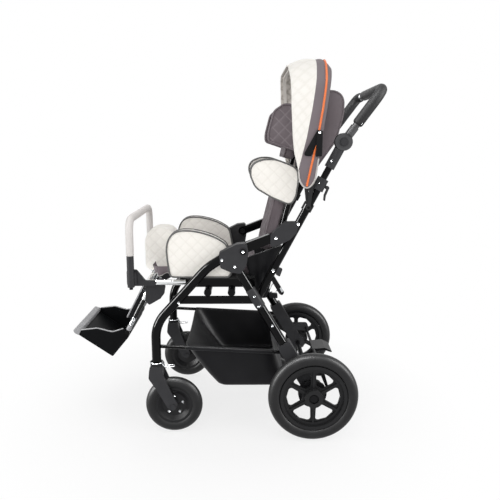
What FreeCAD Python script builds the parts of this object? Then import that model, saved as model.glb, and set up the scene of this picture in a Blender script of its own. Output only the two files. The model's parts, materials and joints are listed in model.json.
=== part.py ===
import FreeCAD
import Part
import math
import os

V = FreeCAD.Vector

# Driving dimensions in millimetres.
# X runs from the front (negative) to the rear, Y across with the left side negative, Z up.
# While the pieces are drawn, the rear axle is at X 0 and the floor at Z 0.

# Clearances
FIT = 0.2            # between a tube and the socket it is fixed in
RUN = 0.08           # radial, between a pin or sliding tube and its bore
SEAT = 0.3           # between a soft piece and what it rests on
SIDE_GAP = 2.0       # between the pieces that fold past each other

# Rear wheels
REAR_WHEEL_R = 145.0
REAR_TYRE_HALF = 22.5
REAR_RIM_R = 107.5
RIM_HALF = 18.0
RIM_LIP = 4.5
RIM_STEP_R = 97.0
WINDOW_OUTER_R = 86.0
WINDOW_INNER_R = 36.0
WINDOW_CORNER_R = 9.0
SPOKES = 6
SPOKE_WIDTH = 15.0
SPOKE_RIB = 6.0
WEB_HALF = 4.0
REAR_HUB_R = 29.0
REAR_HUB_OUT = 24.0
HUB_RECESS_R = 16.0
HUB_RECESS = 8.0
STUB_R = 6.35

# Brake
NOTCHES = 12
BRAKE_RING_R = 46.0
NOTCH_FLOOR_R = 35.0
NOTCH_WIDTH = 12.0
BRAKE_RING_IN = 33.0
NOTCH_DEPTH = 8.0
BRAKE_ANGLE = 20.0
BRAKE_FINGER = 48.0
BRAKE_TIP_R = 52.0
BRAKE_PIN_R = 3.5
BRAKE_SHAFT_R = 5.0
BRAKE_ARM = 4.8
BRAKE_ARM_GAP = 1.6
PEDAL_LENGTH = 66.0
PEDAL_WIDTH = 92.0
PEDAL_THICK = 5.0

# Front casters
FRONT_WHEEL_R = 93.7
FRONT_TYRE_HALF = 19.0
FRONT_RIM_R = 61.5
FRONT_RIM_HALF = 15.0
FRONT_HUB_R = 17.0
FRONT_HUB_HALF = 20.5
FRONT_AXLE_R = 5.0
CASTER_X = -507.0
CASTER_TRAIL = 54.4
FORK_ARM = 6.0
FORK_GAP = 3.5
FORK_TOP_Z = 240.0
FORK_CROWN_R = 20.5
STEM_R = 6.0
STEM_LENGTH = 34.0

# Side frames
LEG_R = 15.0
LEG_Y = 228.0
KNEE_Z = 368.0
KNEE_BEND = 120.0
ELBOW = (-340.0, 553.0)
ELBOW_BEND = 200.0
LEG_TOP = (-268.0, 599.0)
FLANGE_R = 19.0
FLANGE = 3.0
FOLD_PIVOT = (-225.0, 610.0)
REAR_LEG_TOP = (-255.0, 572.0)
HUB_WALL_IN = 2.5
HUB_WALL_OUT = 4.0
HUB_CORNER = 9.0
PIN_R = 6.0
PIN_HEAD_R = 10.0
PIN_HEAD = 5.0
AXLE_R = 9.0
BRACKET_SIDE = 5.0
BRACKET_LENGTH = 185.0
BRACKET_HALF = 22.0
BRACKET_EYE_R = 27.0
LEG_END = 34.0       # from the axle centre up to the end of the rear leg

# Seat base
STRUT_Z = 443.0
STRUT_HEIGHT = 24.0
STRUT_THICK = 12.6
STRUT_FRONT_X = -452.0
CROSS_TUBE_R = 12.4
CROSS_TUBE_X = (-339.0, -262.0)
RAIL_Y = 172.0
RAIL_WIDTH = 24.0
RAIL_HEIGHT = 26.0
RAIL_FRONT_X = -412.0
RAIL_REAR_X = -186.0
SLIDE_R = 9.0
SLIDE_FRONT_X = -538.0
SLIDE_REAR_X = -262.0
SLIDE_BEND = 18.0
PAN_THICK = 6.0
PAN_CORNER = 20.0
POMMEL_PLATE = 5.0
POMMEL_PLATE_LENGTH = 70.0
POMMEL_PLATE_HALF = 40.0

# Basket and the rods in its hems
ROD_R = 6.0
ROD_Y = 218.0
ROD_FRONT = (-507.0, 290.0)
ROD_REAR_Z = 266.0
BASKET_WALL = 3.0
BASKET_TOP_FRONT_X = -400.0
BASKET_TOP_REAR_X = -122.0
BASKET_FLOOR_FRONT_X = -304.0
BASKET_FLOOR_REAR_X = -82.0
BASKET_FLOOR_Z = 140.0
BASKET_FLOOR_HALF = 186.0
BASKET_HEM = 12.0
HEM_FLARE = 0.9      # how far the sloping side wall stands out above the rod's middle

# Push tubes, links and what they carry
PUSH_R = 13.0
PUSH_FOOT = (-178.0, 445.0)
PUSH_LEAN = 27.83    # degrees from upright
PUSH_LENGTH = 440.0
POST_R = 10.5
POST_OUT = 127.65    # from the top of the push tube to the handle joint
POST_INSIDE = 200.0
LINK_HEIGHT = 30.0
LINK_SIDE = 1.0      # from the link to the side hub
LINK_THICK = 23.0
LINK_END = (-112.0, 654.0)
LINK_EYE_R = 16.0
CONNECTOR_HALF = 15.0
CONNECTOR_CORNER = 8.0
COLLAR_R = 18.5
COLLAR_LENGTH = 40.0
COLLAR_LUG = 5.0
LEVER_LENGTH = 40.0
LEVER_THICK = 5.0
LEVER_WIDTH = 14.0
LEVER_PIN_R = 3.0
LEVER_EYE_R = 6.0
LEVER_GAP = 0.5
CANOPY_S = 339.0     # canopy pivot, along the push tube from its foot
CLIP_R = 17.0
CLIP_LENGTH = 26.0
CLIP_PIN_R = 4.0
RECLINE_S = 108.5    # recline axle, along the push tube from its foot
RECLINE_R = 9.0

# Handle
JOINT_R = 27.0
JOINT_HALF = 14.0
JOINT_SPLIT = 0.3
SOCKET_R = 16.0
SOCKET_LENGTH = 90.0
JOINT_PIN_R = 6.0
BUTTON_R = 13.0
BUTTON_DEEP = 8.0
BUTTON_TRAVEL = 4.0
BAR_R = 11.0
BAR_REACH = 202.4
BAR_RISE = 53.6      # degrees from level
BAR_OUT = 6.0        # from the push tube plane out to the handle bar's side arms
BAR_BEND = 55.0
GRIP_R = 17.0
GRIP_START = 66.0
GRIP_BARE_HALF = 45.0

# Backrest
BACK_LEAN = 14.0     # degrees from upright
BACK_TUBE_R = 10.0
BACK_TUBE_Y = 131.0
BACK_LENGTH = 545.0
BACK_BEND = 60.0
BACK_EYE_R = 15.0
BACK_RAIL_S = (150.0, 400.0)
BACK_PAD_HALF = 140.0
BACK_PAD_FROM = 42.0
BACK_PAD_TO = 338.0
BACK_PAD_THICK = 44.0
COVER_HALF = 122.0
COVER_FROM = 330.0
TRUNK_PAD = 34.0
TRUNK_GAP = 0.4
HEAD_PAD_HALF = 98.0
HEAD_PAD_FROM = 352.0
HEAD_PAD_TO = 536.0
HEAD_PAD_THICK = 40.0
HEAD_STEM_HALF = 40.0
HEAD_STEM_WIDTH = 26.0
HEAD_STEM_THICK = 5.0
HEAD_STEM_BELOW = 150.0
HEAD_TIE_BELOW = 50.0
WING_THICK = 32.0

# Canopy
RIB_THICK = 4.0
RIB_WIDTH = 12.0
RIB_SIDE_GAP = 1.0
RIB_TOP_R = 436.0
RIB_CORNER = 105.0
FRONT_RIB_ANGLE = -7.0
REAR_RIB_ANGLE = 7.5
HOOD_THICK = 4.0
HOOD_GAP = 0.6
HOOD_SWELL = 9.0
HOOD_START = 34.0
HOOD_ANGLES = (-10.0, -5.0, 0.5, 4.5, 8.5)

# Seat front: grab bar, pommel and leg rest
GRAB_X = -587.0
GRAB_R = 8.0
GRAB_FOAM_R = 12.4
GRAB_TOP_Z = 703.0
GRAB_BEND = 46.0
SLEEVE_R = 11.5
SLEEVE_BOTTOM_Z = 484.0
SLEEVE_TOP_Z = 586.0
GRAB_FOOT = 5.0
SLEEVE_WEB_FRONT = 4.0
SLEEVE_WEB_REAR = 18.0
SLEEVE_WEB_BELOW = 2.0
SLEEVE_WEB_ABOVE = 38.0
PLATE_AHEAD = 10.0
PLATE_CORNER = 8.0
PLATE_THICK = 8.0
QUADRANT_THICK = 7.0
LEG_PIVOT = (-535.0, 470.0)
LEG_PIN_R = 5.0
LEG_LEAN = 27.6      # degrees that the leg rest hangs forward
HANGER_R = 8.5
HANGER_LENGTH = 112.0
HANGER_EYE_R = 12.0
EYE_STEP = 1.0
FOOT_ROD_R = 6.0
FOOT_AXLE_S = 176.0
FOOT_ROD_TOP = 46.0
CALF_FROM = 16.0
CALF_TO = 138.0
CALF_THICK = 20.0
FOOT_SIDE_GAP = 7.1
FOOT_WALL = 5.0
FOOT_SOLE = 6.0
FOOT_EYE_R = 10.5

# Soft supports
PAD_SECTIONS = 7
SEAT_PAD_FRONT_X = -446.0
SEAT_PAD_REAR_X = -180.0
SEAT_PAD_HALF = 146.0
SEAT_PAD_HEIGHT = 54.0
SEAT_PAD_CORNER = 30.0
SEAT_PAD_PINCH = 5.0
THIGH_PAD = 42.0
THIGH_GAP = 6.0
POMMEL_HALF = 56.0

# Side-view outlines, each point an offset (x, z) from the piece's own anchor
HUB_OUTLINE = ((-76, -6), (-21, 22), (11, 26), (17, -4), (11, -44), (-7, -72), (-37, -67), (-71, -53))
CONNECTOR_OUTLINE = ((-70, -38), (-70, 3), (-24, 43), (14, 44), (21, 34), (12, 8), (-8, -13), (-39, -29))
FORK_OUTLINE = ((-20, -8), (20, -8), (24, -36), (52, -104), (70, -140), (54, -162), (36, -150), (-4, -78), (-24, -48))
THIGH_OUTLINE = (
    (-132, 0), (-140, 55), (-143, 98), (-136, 127), (-121, 147), (-96, 157),
    (-56, 156), (-16, 147), (18, 134), (54, 112), (71, 30), (66, 0),
)
TRUNK_OUTLINE = (
    (-100, 14), (-91, 45), (-58, 60), (-18, 61), (20, 48), (56, 32),
    (60, -10), (52, -66), (33, -88), (-26, -64), (-81, -32),
)
WING_OUTLINE = ((-54, -1), (-55, 34), (-33, 86), (0, 113), (44, 107), (40, -36))
POMMEL_OUTLINE = ((-58, 0), (-58, 118), (-34, 152), (34, 152), (58, 112), (58, 0))
QUADRANT_OUTLINE = (
    (-12, 11), (26, 11), (28, 33), (52, 33), (53, 4), (49, -18), (36, -35), (-2, -57), (-13, -44),
)
PLATE_OUTLINE = ((-54, -8), (-54, 46), (-22, 46), (6, 10), (40, 10), (40, -8))
COVER_OUTLINE = ((0, 0), (0, 262), (54, 272), (80, 256), (93, 204), (92, 118), (50, 12))
FOOT_OUTLINE = ((-56, -92), (-168, -14), (-160, 2), (-104, 8), (-54, -6), (-16, 6), (4, -8), (0, -24))

# Anchors of those outlines
THIGH_ANCHOR_X = -330.0
TRUNK_ANCHOR = (-106.0, 834.0)
WING_ANCHOR = (-90.0, 953.0)
POMMEL_ANCHOR_X = -508.0
SADDLE_BACK = 40.0
BORE_EXTRA = 5.0
OVERCUT = 1.0         # how far a cutting shape runs past the face it opens


# Values worked out from the driving dimensions

def direction(start, end):
    """Unit vector and length from one side-view point to another."""
    dx = end[0] - start[0]
    dz = end[1] - start[1]
    length = math.hypot(dx, dz)
    return (dx / length, dz / length), length


def along(start, unit, distance):
    return (start[0] + unit[0] * distance, start[1] + unit[1] * distance)


AXLE = (0.0, REAR_WHEEL_R)
CASTER_AXLE = (CASTER_X + CASTER_TRAIL, FRONT_WHEEL_R)
LEG_IN = LEG_Y - LEG_R
LEG_OUT = LEG_Y + LEG_R
HUB_IN = LEG_IN - HUB_WALL_IN
HUB_OUT = LEG_OUT + HUB_WALL_OUT
PUSH_Y = LEG_IN - SIDE_GAP - PUSH_R
PUSH_UNIT = (math.sin(math.radians(PUSH_LEAN)), math.cos(math.radians(PUSH_LEAN)))
JOINT_S = PUSH_LENGTH + POST_OUT
HANDLE_JOINT = along(PUSH_FOOT, PUSH_UNIT, JOINT_S)
RECLINE = along(PUSH_FOOT, PUSH_UNIT, RECLINE_S)
CANOPY_PIVOT = along(PUSH_FOOT, PUSH_UNIT, CANOPY_S)
REAR_LEG_UNIT, REAR_LEG_LENGTH = direction(REAR_LEG_TOP, AXLE)
REAR_LEG_LEAN = math.degrees(math.atan2(REAR_LEG_UNIT[0], REAR_LEG_UNIT[1]))
LINK_OUT = HUB_IN - LINK_SIDE
LEVER_PIVOT = (COLLAR_R + LEVER_GAP + LEVER_EYE_R, PUSH_LENGTH + FIT - COLLAR_LENGTH / 2)
LINK_IN = LINK_OUT - LINK_THICK
STRUT_TOP = STRUT_Z + STRUT_HEIGHT / 2
RAIL_BOTTOM = STRUT_TOP + 2 * CROSS_TUBE_R + 2 * FIT
RAIL_Z = RAIL_BOTTOM + RAIL_HEIGHT / 2
RAIL_TOP = RAIL_BOTTOM + RAIL_HEIGHT
PAN_TOP = RAIL_TOP + FIT + PAN_THICK
RIB_IN = PUSH_Y + PUSH_R + RIB_SIDE_GAP + RIB_THICK
GRAB_Y = RAIL_Y + SLIDE_R + PLATE_THICK + SLEEVE_R - 2.0
QUADRANT_IN = RAIL_Y - SLIDE_R - FIT - QUADRANT_THICK
HANGER_Y = QUADRANT_IN - FIT - HANGER_R
FOOT_HALF = HANGER_Y - FOOT_ROD_R - FOOT_SIDE_GAP
TRUNK_IN = BACK_TUBE_Y + BACK_TUBE_R + TRUNK_GAP
BRAKE_RING_Y = LEG_OUT + BRACKET_SIDE + BRAKE_ARM + 2 * BRAKE_ARM_GAP
REAR_TRACK_HALF = BRAKE_RING_Y + BRAKE_RING_IN
BRAKE_ARM_OUT = BRAKE_RING_Y - BRAKE_ARM_GAP
BRAKE_ARM_IN = BRAKE_ARM_OUT - BRAKE_ARM
BRAKE_PIN_END = BRAKE_RING_Y + NOTCH_DEPTH - 1.2
BRAKE_TIP = (
    AXLE[0] + BRAKE_TIP_R * math.cos(math.radians(BRAKE_ANGLE)),
    AXLE[1] + BRAKE_TIP_R * math.sin(math.radians(BRAKE_ANGLE)),
)
BRAKE_SHAFT = (
    BRAKE_TIP[0] - BRAKE_FINGER * math.sin(math.radians(BRAKE_ANGLE)),
    BRAKE_TIP[1] + BRAKE_FINGER * math.cos(math.radians(BRAKE_ANGLE)),
)


# Shape helpers

def at(point, y=0.0):
    return V(point[0], y, point[1])


def shifted(offsets, anchor):
    return [(anchor[0] + x, anchor[1] + z) for x, z in offsets]


def rounded_outline(points, radius, y=0.0):
    """Closed wire in the side view with every corner rounded."""
    count = len(points)
    corners = []
    for i in range(count):
        corner = at(points[i], y)
        before = at(points[i - 1], y) - corner
        after = at(points[(i + 1) % count], y) - corner
        half = before.getAngle(after) / 2
        room = 0.45 * min(before.Length, after.Length)
        reach = min(radius / math.tan(half), room)
        fillet = reach * math.tan(half)
        before.normalize()
        after.normalize()
        middle = before + after
        middle.normalize()
        centre = corner + middle * (fillet / math.sin(half))
        corners.append((corner + before * reach, centre - middle * fillet, corner + after * reach))
    edges = []
    for i in range(count):
        start, crest, end = corners[i]
        edges.append(Part.Arc(start, crest, end).toShape())
        edges.append(Part.LineSegment(end, corners[(i + 1) % count][0]).toShape())
    return Part.Wire(edges)


def slab(points, radius, y_from, y_to):
    """A side-view outline drawn out across the object."""
    face = Part.Face(rounded_outline(points, radius, y_from))
    return face.extrude(V(0, y_to - y_from, 0))


def pin(point, radius, y_from, y_to):
    """A round bar across the object."""
    return Part.makeCylinder(radius, y_to - y_from, at(point, y_from), V(0, 1, 0))


def bar(start, end, radius, y):
    """A straight round bar in the side view."""
    unit, length = direction(start, end)
    return Part.makeCylinder(radius, length, at(start, y), V(unit[0], 0, unit[1]))


def tube(points, radius, bends):
    """A round tube along straight runs joined by tangent arcs."""
    edges = []
    last = points[0]
    for i in range(1, len(points) - 1):
        before = points[i - 1] - points[i]
        after = points[i + 1] - points[i]
        half = before.getAngle(after) / 2
        before.normalize()
        after.normalize()
        reach = bends[i - 1] / math.tan(half)
        start = points[i] + before * reach
        end = points[i] + after * reach
        middle = before + after
        middle.normalize()
        crest = points[i] + middle * (bends[i - 1] / math.sin(half) - bends[i - 1])
        edges.append(Part.LineSegment(last, start).toShape())
        edges.append(Part.Arc(start, crest, end).toShape())
        last = end
    edges.append(Part.LineSegment(last, points[-1]).toShape())
    path = Part.Wire(edges)
    ring = Part.makeCircle(radius, points[0], points[1] - points[0])
    return path.makePipeShell([Part.Wire(ring)], True, False)


def block(x, y, z):
    """A box between three pairs of limits."""
    return Part.makeBox(x[1] - x[0], y[1] - y[0], z[1] - z[0], V(x[0], y[0], z[0]))


def placed(shape, lean, origin):
    """Tip a piece rearwards about its own origin and set it in place."""
    result = shape.copy()
    result.rotate(V(0, 0, 0), V(0, 1, 0), lean)
    result.translate(at(origin))
    return result


def other_side(shape):
    return shape.mirror(V(0, 0, 0), V(0, 1, 0))


def pair(shape):
    """The right-hand piece and its mirror image, as two separate solids."""
    return Part.Compound([other_side(shape), shape])


def centre_of(points):
    xs = [p[0] for p in points]
    zs = [p[1] for p in points]
    return ((min(xs) + max(xs)) / 2, (min(zs) + max(zs)) / 2)


def inset(points, share):
    middle = centre_of(points)
    return [(middle[0] + (x - middle[0]) * share, middle[1] + (z - middle[1]) * share) for x, z in points]


def crown_share(depth, edge):
    """Share of the full outline at a depth from 0 to 1 through a stuffed pad."""
    return edge + (1.0 - edge) * math.sqrt(math.sin(math.pi * depth))


def pillow(points, radius, y_from, y_to, edge=0.80):
    """A stuffed pad: full at mid thickness, drawn in towards its two sewn edges."""
    thick = y_to - y_from
    wires = []
    for i in range(PAD_SECTIONS):
        depth = i / (PAD_SECTIONS - 1)
        share = crown_share(depth, edge)
        wires.append(rounded_outline(inset(points, share), radius * share, y_from + depth * thick))
    return Part.makeLoft(wires, True, True)


def cushion(half, length, thick, radius, pinch):
    """A crowned cushion lying in the XZ plane, its sides drawn in between the corners."""
    points = [
        (-half, 0), (-half + pinch, length / 2), (-half, length), (0, length - pinch),
        (half, length), (half - pinch, length / 2), (half, 0), (0, pinch),
    ]
    sections = ((0.0, 0.97), (0.25, 1.0), (0.55, 0.995), (0.78, 0.97), (0.93, 0.92), (1.0, 0.84))
    wires = []
    for depth, share in sections:
        wires.append(rounded_outline(inset(points, share), radius * share, depth * thick))
    return Part.makeLoft(wires, True, True)


# Wheels, drawn for the right side with the axle along Y

def wheel_ring(profile, axle, y):
    """Turn a closed profile of (radius, offset) edges about a wheel's axle."""
    face = Part.Face(Part.Wire(profile))
    ring = face.revolve(V(0, 0, 0), V(0, 1, 0), 360)
    ring.translate(at(axle, y))
    return ring


def tyre_profile(bead_r, bead_half, bulge_r, bulge_half, shoulder_r, shoulder_half, outer_r):
    """Bead, two bulging side walls and a crowned tread."""
    def spot(r, y):
        return V(r, y, 0)
    wall = Part.Arc(spot(bead_r, bead_half), spot(bulge_r, bulge_half), spot(shoulder_r, shoulder_half))
    tread = Part.Arc(spot(shoulder_r, shoulder_half), spot(outer_r, 0), spot(shoulder_r, -shoulder_half))
    far = Part.Arc(spot(shoulder_r, -shoulder_half), spot(bulge_r, -bulge_half), spot(bead_r, -bead_half))
    bead = Part.LineSegment(spot(bead_r, -bead_half), spot(bead_r, bead_half))
    return [wall.toShape(), tread.toShape(), far.toShape(), bead.toShape()]


def polygon_profile(points):
    corners = [V(r, y, 0) for r, y in points]
    corners.append(corners[0])
    return [Part.LineSegment(a, b).toShape() for a, b in zip(corners, corners[1:])]


def rear_tyre():
    bulge_r = REAR_RIM_R + 0.45 * (REAR_WHEEL_R - REAR_RIM_R)
    shoulder_r = REAR_WHEEL_R - 0.3 * REAR_TYRE_HALF
    profile = tyre_profile(
        REAR_RIM_R + SEAT, RIM_HALF - RIM_LIP, bulge_r, REAR_TYRE_HALF,
        shoulder_r, 0.76 * REAR_TYRE_HALF, REAR_WHEEL_R,
    )
    return wheel_ring(profile, AXLE, REAR_TRACK_HALF)


def rim_window(turn):
    """One rounded three-cornered opening between two spokes."""
    reach = math.pi / SPOKES
    inner = WINDOW_INNER_R
    side = SPOKE_WIDTH / 2
    wide = WINDOW_OUTER_R * math.sin(reach) - side
    tall = WINDOW_OUTER_R * math.cos(reach) + 0.3 * side
    narrow = max(inner * math.sin(reach) - side, WINDOW_CORNER_R / 2)
    points = [(-narrow, inner), (-wide, tall), (0, WINDOW_OUTER_R), (wide, tall), (narrow, inner)]
    opening = slab(points, WINDOW_CORNER_R, -RIM_HALF, RIM_HALF)
    opening.rotate(V(0, 0, 0), V(0, 1, 0), turn)
    opening.translate(at(AXLE, REAR_TRACK_HALF))
    return opening


def rear_rim():
    """Stepped ring, spoked web, hub with its recess, and the notched brake ring inside."""
    ring = polygon_profile([
        (RIM_STEP_R, -RIM_HALF), (REAR_RIM_R, -RIM_HALF), (REAR_RIM_R, RIM_HALF), (RIM_STEP_R, RIM_HALF),
        (RIM_STEP_R, RIM_HALF / 2), (WINDOW_OUTER_R, RIM_HALF / 2), (WINDOW_OUTER_R, WEB_HALF),
        (REAR_HUB_R, WEB_HALF), (REAR_HUB_R, REAR_HUB_OUT), (HUB_RECESS_R, REAR_HUB_OUT),
        (HUB_RECESS_R, REAR_HUB_OUT - HUB_RECESS), (STUB_R + RUN, REAR_HUB_OUT - HUB_RECESS),
        (STUB_R + RUN, -BRAKE_RING_IN), (BRAKE_RING_R, -BRAKE_RING_IN), (BRAKE_RING_R, -RIM_HALF),
        (REAR_HUB_R, -RIM_HALF), (REAR_HUB_R, -WEB_HALF), (RIM_STEP_R, -WEB_HALF),
    ])
    rim = wheel_ring(ring, AXLE, REAR_TRACK_HALF)
    step = 360.0 / SPOKES
    cuts = [rim_window(step * (i + 0.5)) for i in range(SPOKES)]
    for i in range(NOTCHES):
        notch = block(
            (NOTCH_FLOOR_R, BRAKE_RING_R + NOTCH_WIDTH), (-BRAKE_RING_IN - 1.0, NOTCH_DEPTH - BRAKE_RING_IN),
            (-NOTCH_WIDTH / 2, NOTCH_WIDTH / 2),
        )
        notch.rotate(V(0, 0, 0), V(0, 1, 0), i * 360.0 / NOTCHES - BRAKE_ANGLE)
        notch.translate(at(AXLE, REAR_TRACK_HALF))
        cuts.append(notch)
    rim = rim.cut(cuts)
    ribs = []
    for i in range(SPOKES):
        rib = block(
            (-SPOKE_RIB / 2, SPOKE_RIB / 2), (WEB_HALF - 1.0, RIM_HALF / 2),
            (REAR_HUB_R - 1.0, WINDOW_OUTER_R + 1.0),
        )
        rib.rotate(V(0, 0, 0), V(0, 1, 0), i * step)
        rib.translate(at(AXLE, REAR_TRACK_HALF))
        ribs.append(rib)
    return rim.fuse(ribs).removeSplitter()


def front_tyre():
    bulge_r = FRONT_RIM_R + 0.45 * (FRONT_WHEEL_R - FRONT_RIM_R)
    shoulder_r = FRONT_WHEEL_R - 0.35 * FRONT_TYRE_HALF
    profile = tyre_profile(
        FRONT_RIM_R + SEAT, FRONT_RIM_HALF, bulge_r, FRONT_TYRE_HALF,
        shoulder_r, 0.72 * FRONT_TYRE_HALF, FRONT_WHEEL_R,
    )
    return wheel_ring(profile, CASTER_AXLE, LEG_Y)


def front_rim():
    """Dished disc with a raised hub on both faces."""
    barrel_r = FRONT_RIM_R - 8.0
    dish_r = FRONT_RIM_R - 22.0
    web = 5.0
    half = [
        (FRONT_RIM_R, FRONT_RIM_HALF), (barrel_r, FRONT_RIM_HALF), (dish_r, web),
        (FRONT_HUB_R, web + 3.0), (FRONT_HUB_R, FRONT_HUB_HALF), (FRONT_AXLE_R + RUN, FRONT_HUB_HALF),
    ]
    points = half + [(r, -y) for r, y in reversed(half)]
    return wheel_ring(polygon_profile(points), CASTER_AXLE, LEG_Y)


def front_axle():
    arm_out = FRONT_TYRE_HALF + FORK_GAP + FORK_ARM
    shaft = pin(CASTER_AXLE, FRONT_AXLE_R, LEG_Y - arm_out, LEG_Y + arm_out)
    head = pin(CASTER_AXLE, FRONT_AXLE_R + 4.0, LEG_Y + arm_out + FIT, LEG_Y + arm_out + FIT + 3.5)
    nut = pin(CASTER_AXLE, FRONT_AXLE_R + 4.0, LEG_Y - arm_out - FIT - 4.5, LEG_Y - arm_out - FIT)
    neck = pin(CASTER_AXLE, FRONT_AXLE_R, LEG_Y - arm_out - 1.0, LEG_Y + arm_out + 1.0)
    return shaft.fuse([head, nut, neck]).removeSplitter()


def caster_fork():
    """Crown with its stem and two arms that trail down to the axle bolt, a solid of its own."""
    arm_in = FRONT_TYRE_HALF + FORK_GAP
    arm_out = arm_in + FORK_ARM
    anchor = (CASTER_X, FORK_TOP_Z)
    points = shifted(FORK_OUTLINE, anchor)
    arms = [
        slab(points, 14.0, LEG_Y + arm_in, LEG_Y + arm_out),
        slab(points, 14.0, LEG_Y - arm_out, LEG_Y - arm_in),
    ]
    bridge_bottom = CASTER_AXLE[1] + FRONT_WHEEL_R + FORK_GAP
    bridge = slab(
        [(CASTER_X - 20, bridge_bottom), (CASTER_X - 20, FORK_TOP_Z - 8),
         (CASTER_X + 20, FORK_TOP_Z - 8), (CASTER_X + 22, bridge_bottom)],
        5.0, LEG_Y - arm_out, LEG_Y + arm_out,
    )
    crown = Part.makeCylinder(FORK_CROWN_R, FORK_TOP_Z - bridge_bottom, V(CASTER_X, LEG_Y, bridge_bottom))
    stem = Part.makeCylinder(STEM_R, STEM_LENGTH + 2.0, V(CASTER_X, LEG_Y, FORK_TOP_Z - 2.0))
    fork = crown.fuse(arms + [bridge, stem]).removeSplitter()
    bore = pin(CASTER_AXLE, FRONT_AXLE_R + RUN, LEG_Y - 2 * arm_out, LEG_Y + 2 * arm_out)
    return Part.Compound([fork.cut(bore), front_axle()])


# Side frames

def front_leg():
    """Bent tube from the side hub down to the caster, with the swivel's flange and bore."""
    foot_z = FORK_TOP_Z + SEAT
    knee = V(CASTER_X, LEG_Y, KNEE_Z)
    leg = tube(
        [V(CASTER_X, LEG_Y, foot_z), knee, at(ELBOW, LEG_Y), at(LEG_TOP, LEG_Y)],
        LEG_R, (KNEE_BEND, ELBOW_BEND),
    )
    flange = Part.makeCylinder(FLANGE_R, FLANGE, V(CASTER_X, LEG_Y, foot_z))
    bore = Part.makeCylinder(STEM_R + RUN, STEM_LENGTH + BORE_EXTRA, V(CASTER_X, LEG_Y, foot_z - 1.0))
    return leg.fuse(flange).cut(bore)


def rear_leg_bar(radius, extra=0.0):
    end = along(REAR_LEG_TOP, REAR_LEG_UNIT, REAR_LEG_LENGTH - LEG_END + extra)
    start = along(REAR_LEG_TOP, REAR_LEG_UNIT, -extra)
    return bar(start, end, radius, LEG_Y)


def rear_leg():
    return rear_leg_bar(LEG_R)


def side_hub():
    """Cast knuckle that joins the two legs and carries the fold pivot."""
    body = slab(shifted(HUB_OUTLINE, FOLD_PIVOT), HUB_CORNER, HUB_IN, HUB_OUT)
    unit, length = direction(ELBOW, LEG_TOP)
    front_end = along(LEG_TOP, unit, FIT)
    front_bore = bar(along(front_end, unit, -length), front_end, LEG_R + FIT, LEG_Y)
    pivot = pin(FOLD_PIVOT, PIN_R + RUN, HUB_IN - 1.0, HUB_OUT + 1.0)
    return body.cut([front_bore, rear_leg_bar(LEG_R + FIT, FIT), pivot])


def axle_bracket():
    """Moulded boot on the foot of the rear leg: axle housing and brake lug."""
    unit = REAR_LEG_UNIT
    square = (-unit[1], unit[0])
    top = along(AXLE, unit, -BRACKET_LENGTH)
    points = [
        along(top, square, BRACKET_HALF), along(top, square, -BRACKET_HALF),
        along(AXLE, square, -BRACKET_HALF), along(AXLE, square, BRACKET_HALF),
    ]
    y_in = LEG_IN - BRACKET_SIDE
    y_out = LEG_OUT + BRACKET_SIDE
    boot = slab(points, 6.0, y_in, y_out)
    eye = pin(AXLE, BRACKET_EYE_R, y_in, y_out)
    lug_r = BRAKE_SHAFT_R + 6.0
    lug = pin(BRAKE_SHAFT, lug_r, y_in, y_out)
    root = along(AXLE, unit, -0.4 * BRACKET_LENGTH)
    arm_unit, arm_length = direction(root, BRAKE_SHAFT)
    arm_square = (-arm_unit[1], arm_unit[0])
    arm = slab(
        [along(root, arm_square, lug_r), along(BRAKE_SHAFT, arm_square, lug_r),
         along(BRAKE_SHAFT, arm_square, -lug_r), along(root, arm_square, -lug_r)],
        0.5, y_in, y_out,
    )
    whole = boot.fuse([eye, lug, arm]).removeSplitter()
    bores = [
        rear_leg_bar(LEG_R + FIT, FIT),
        pin(AXLE, AXLE_R + FIT, y_in - 1.0, y_out + 1.0),
        pin(BRAKE_SHAFT, BRAKE_SHAFT_R + RUN, y_in - 1.0, y_out + 1.0),
    ]
    return whole.cut(bores)


def rear_axle():
    """Cross axle with a turned stub and washer head at each wheel."""
    shoulder = BRAKE_RING_Y - 1.0
    stub_end = REAR_TRACK_HALF + REAR_HUB_OUT - HUB_RECESS + FIT
    core = pin(AXLE, AXLE_R, -shoulder, shoulder)
    stub = pin(AXLE, STUB_R, -stub_end - 1.0, stub_end + 1.0)
    head_r = HUB_RECESS_R - 4.0
    heads = [pin(AXLE, head_r, stub_end, stub_end + 4.0), pin(AXLE, head_r, -stub_end - 4.0, -stub_end)]
    return core.fuse([stub] + heads).removeSplitter()


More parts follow.
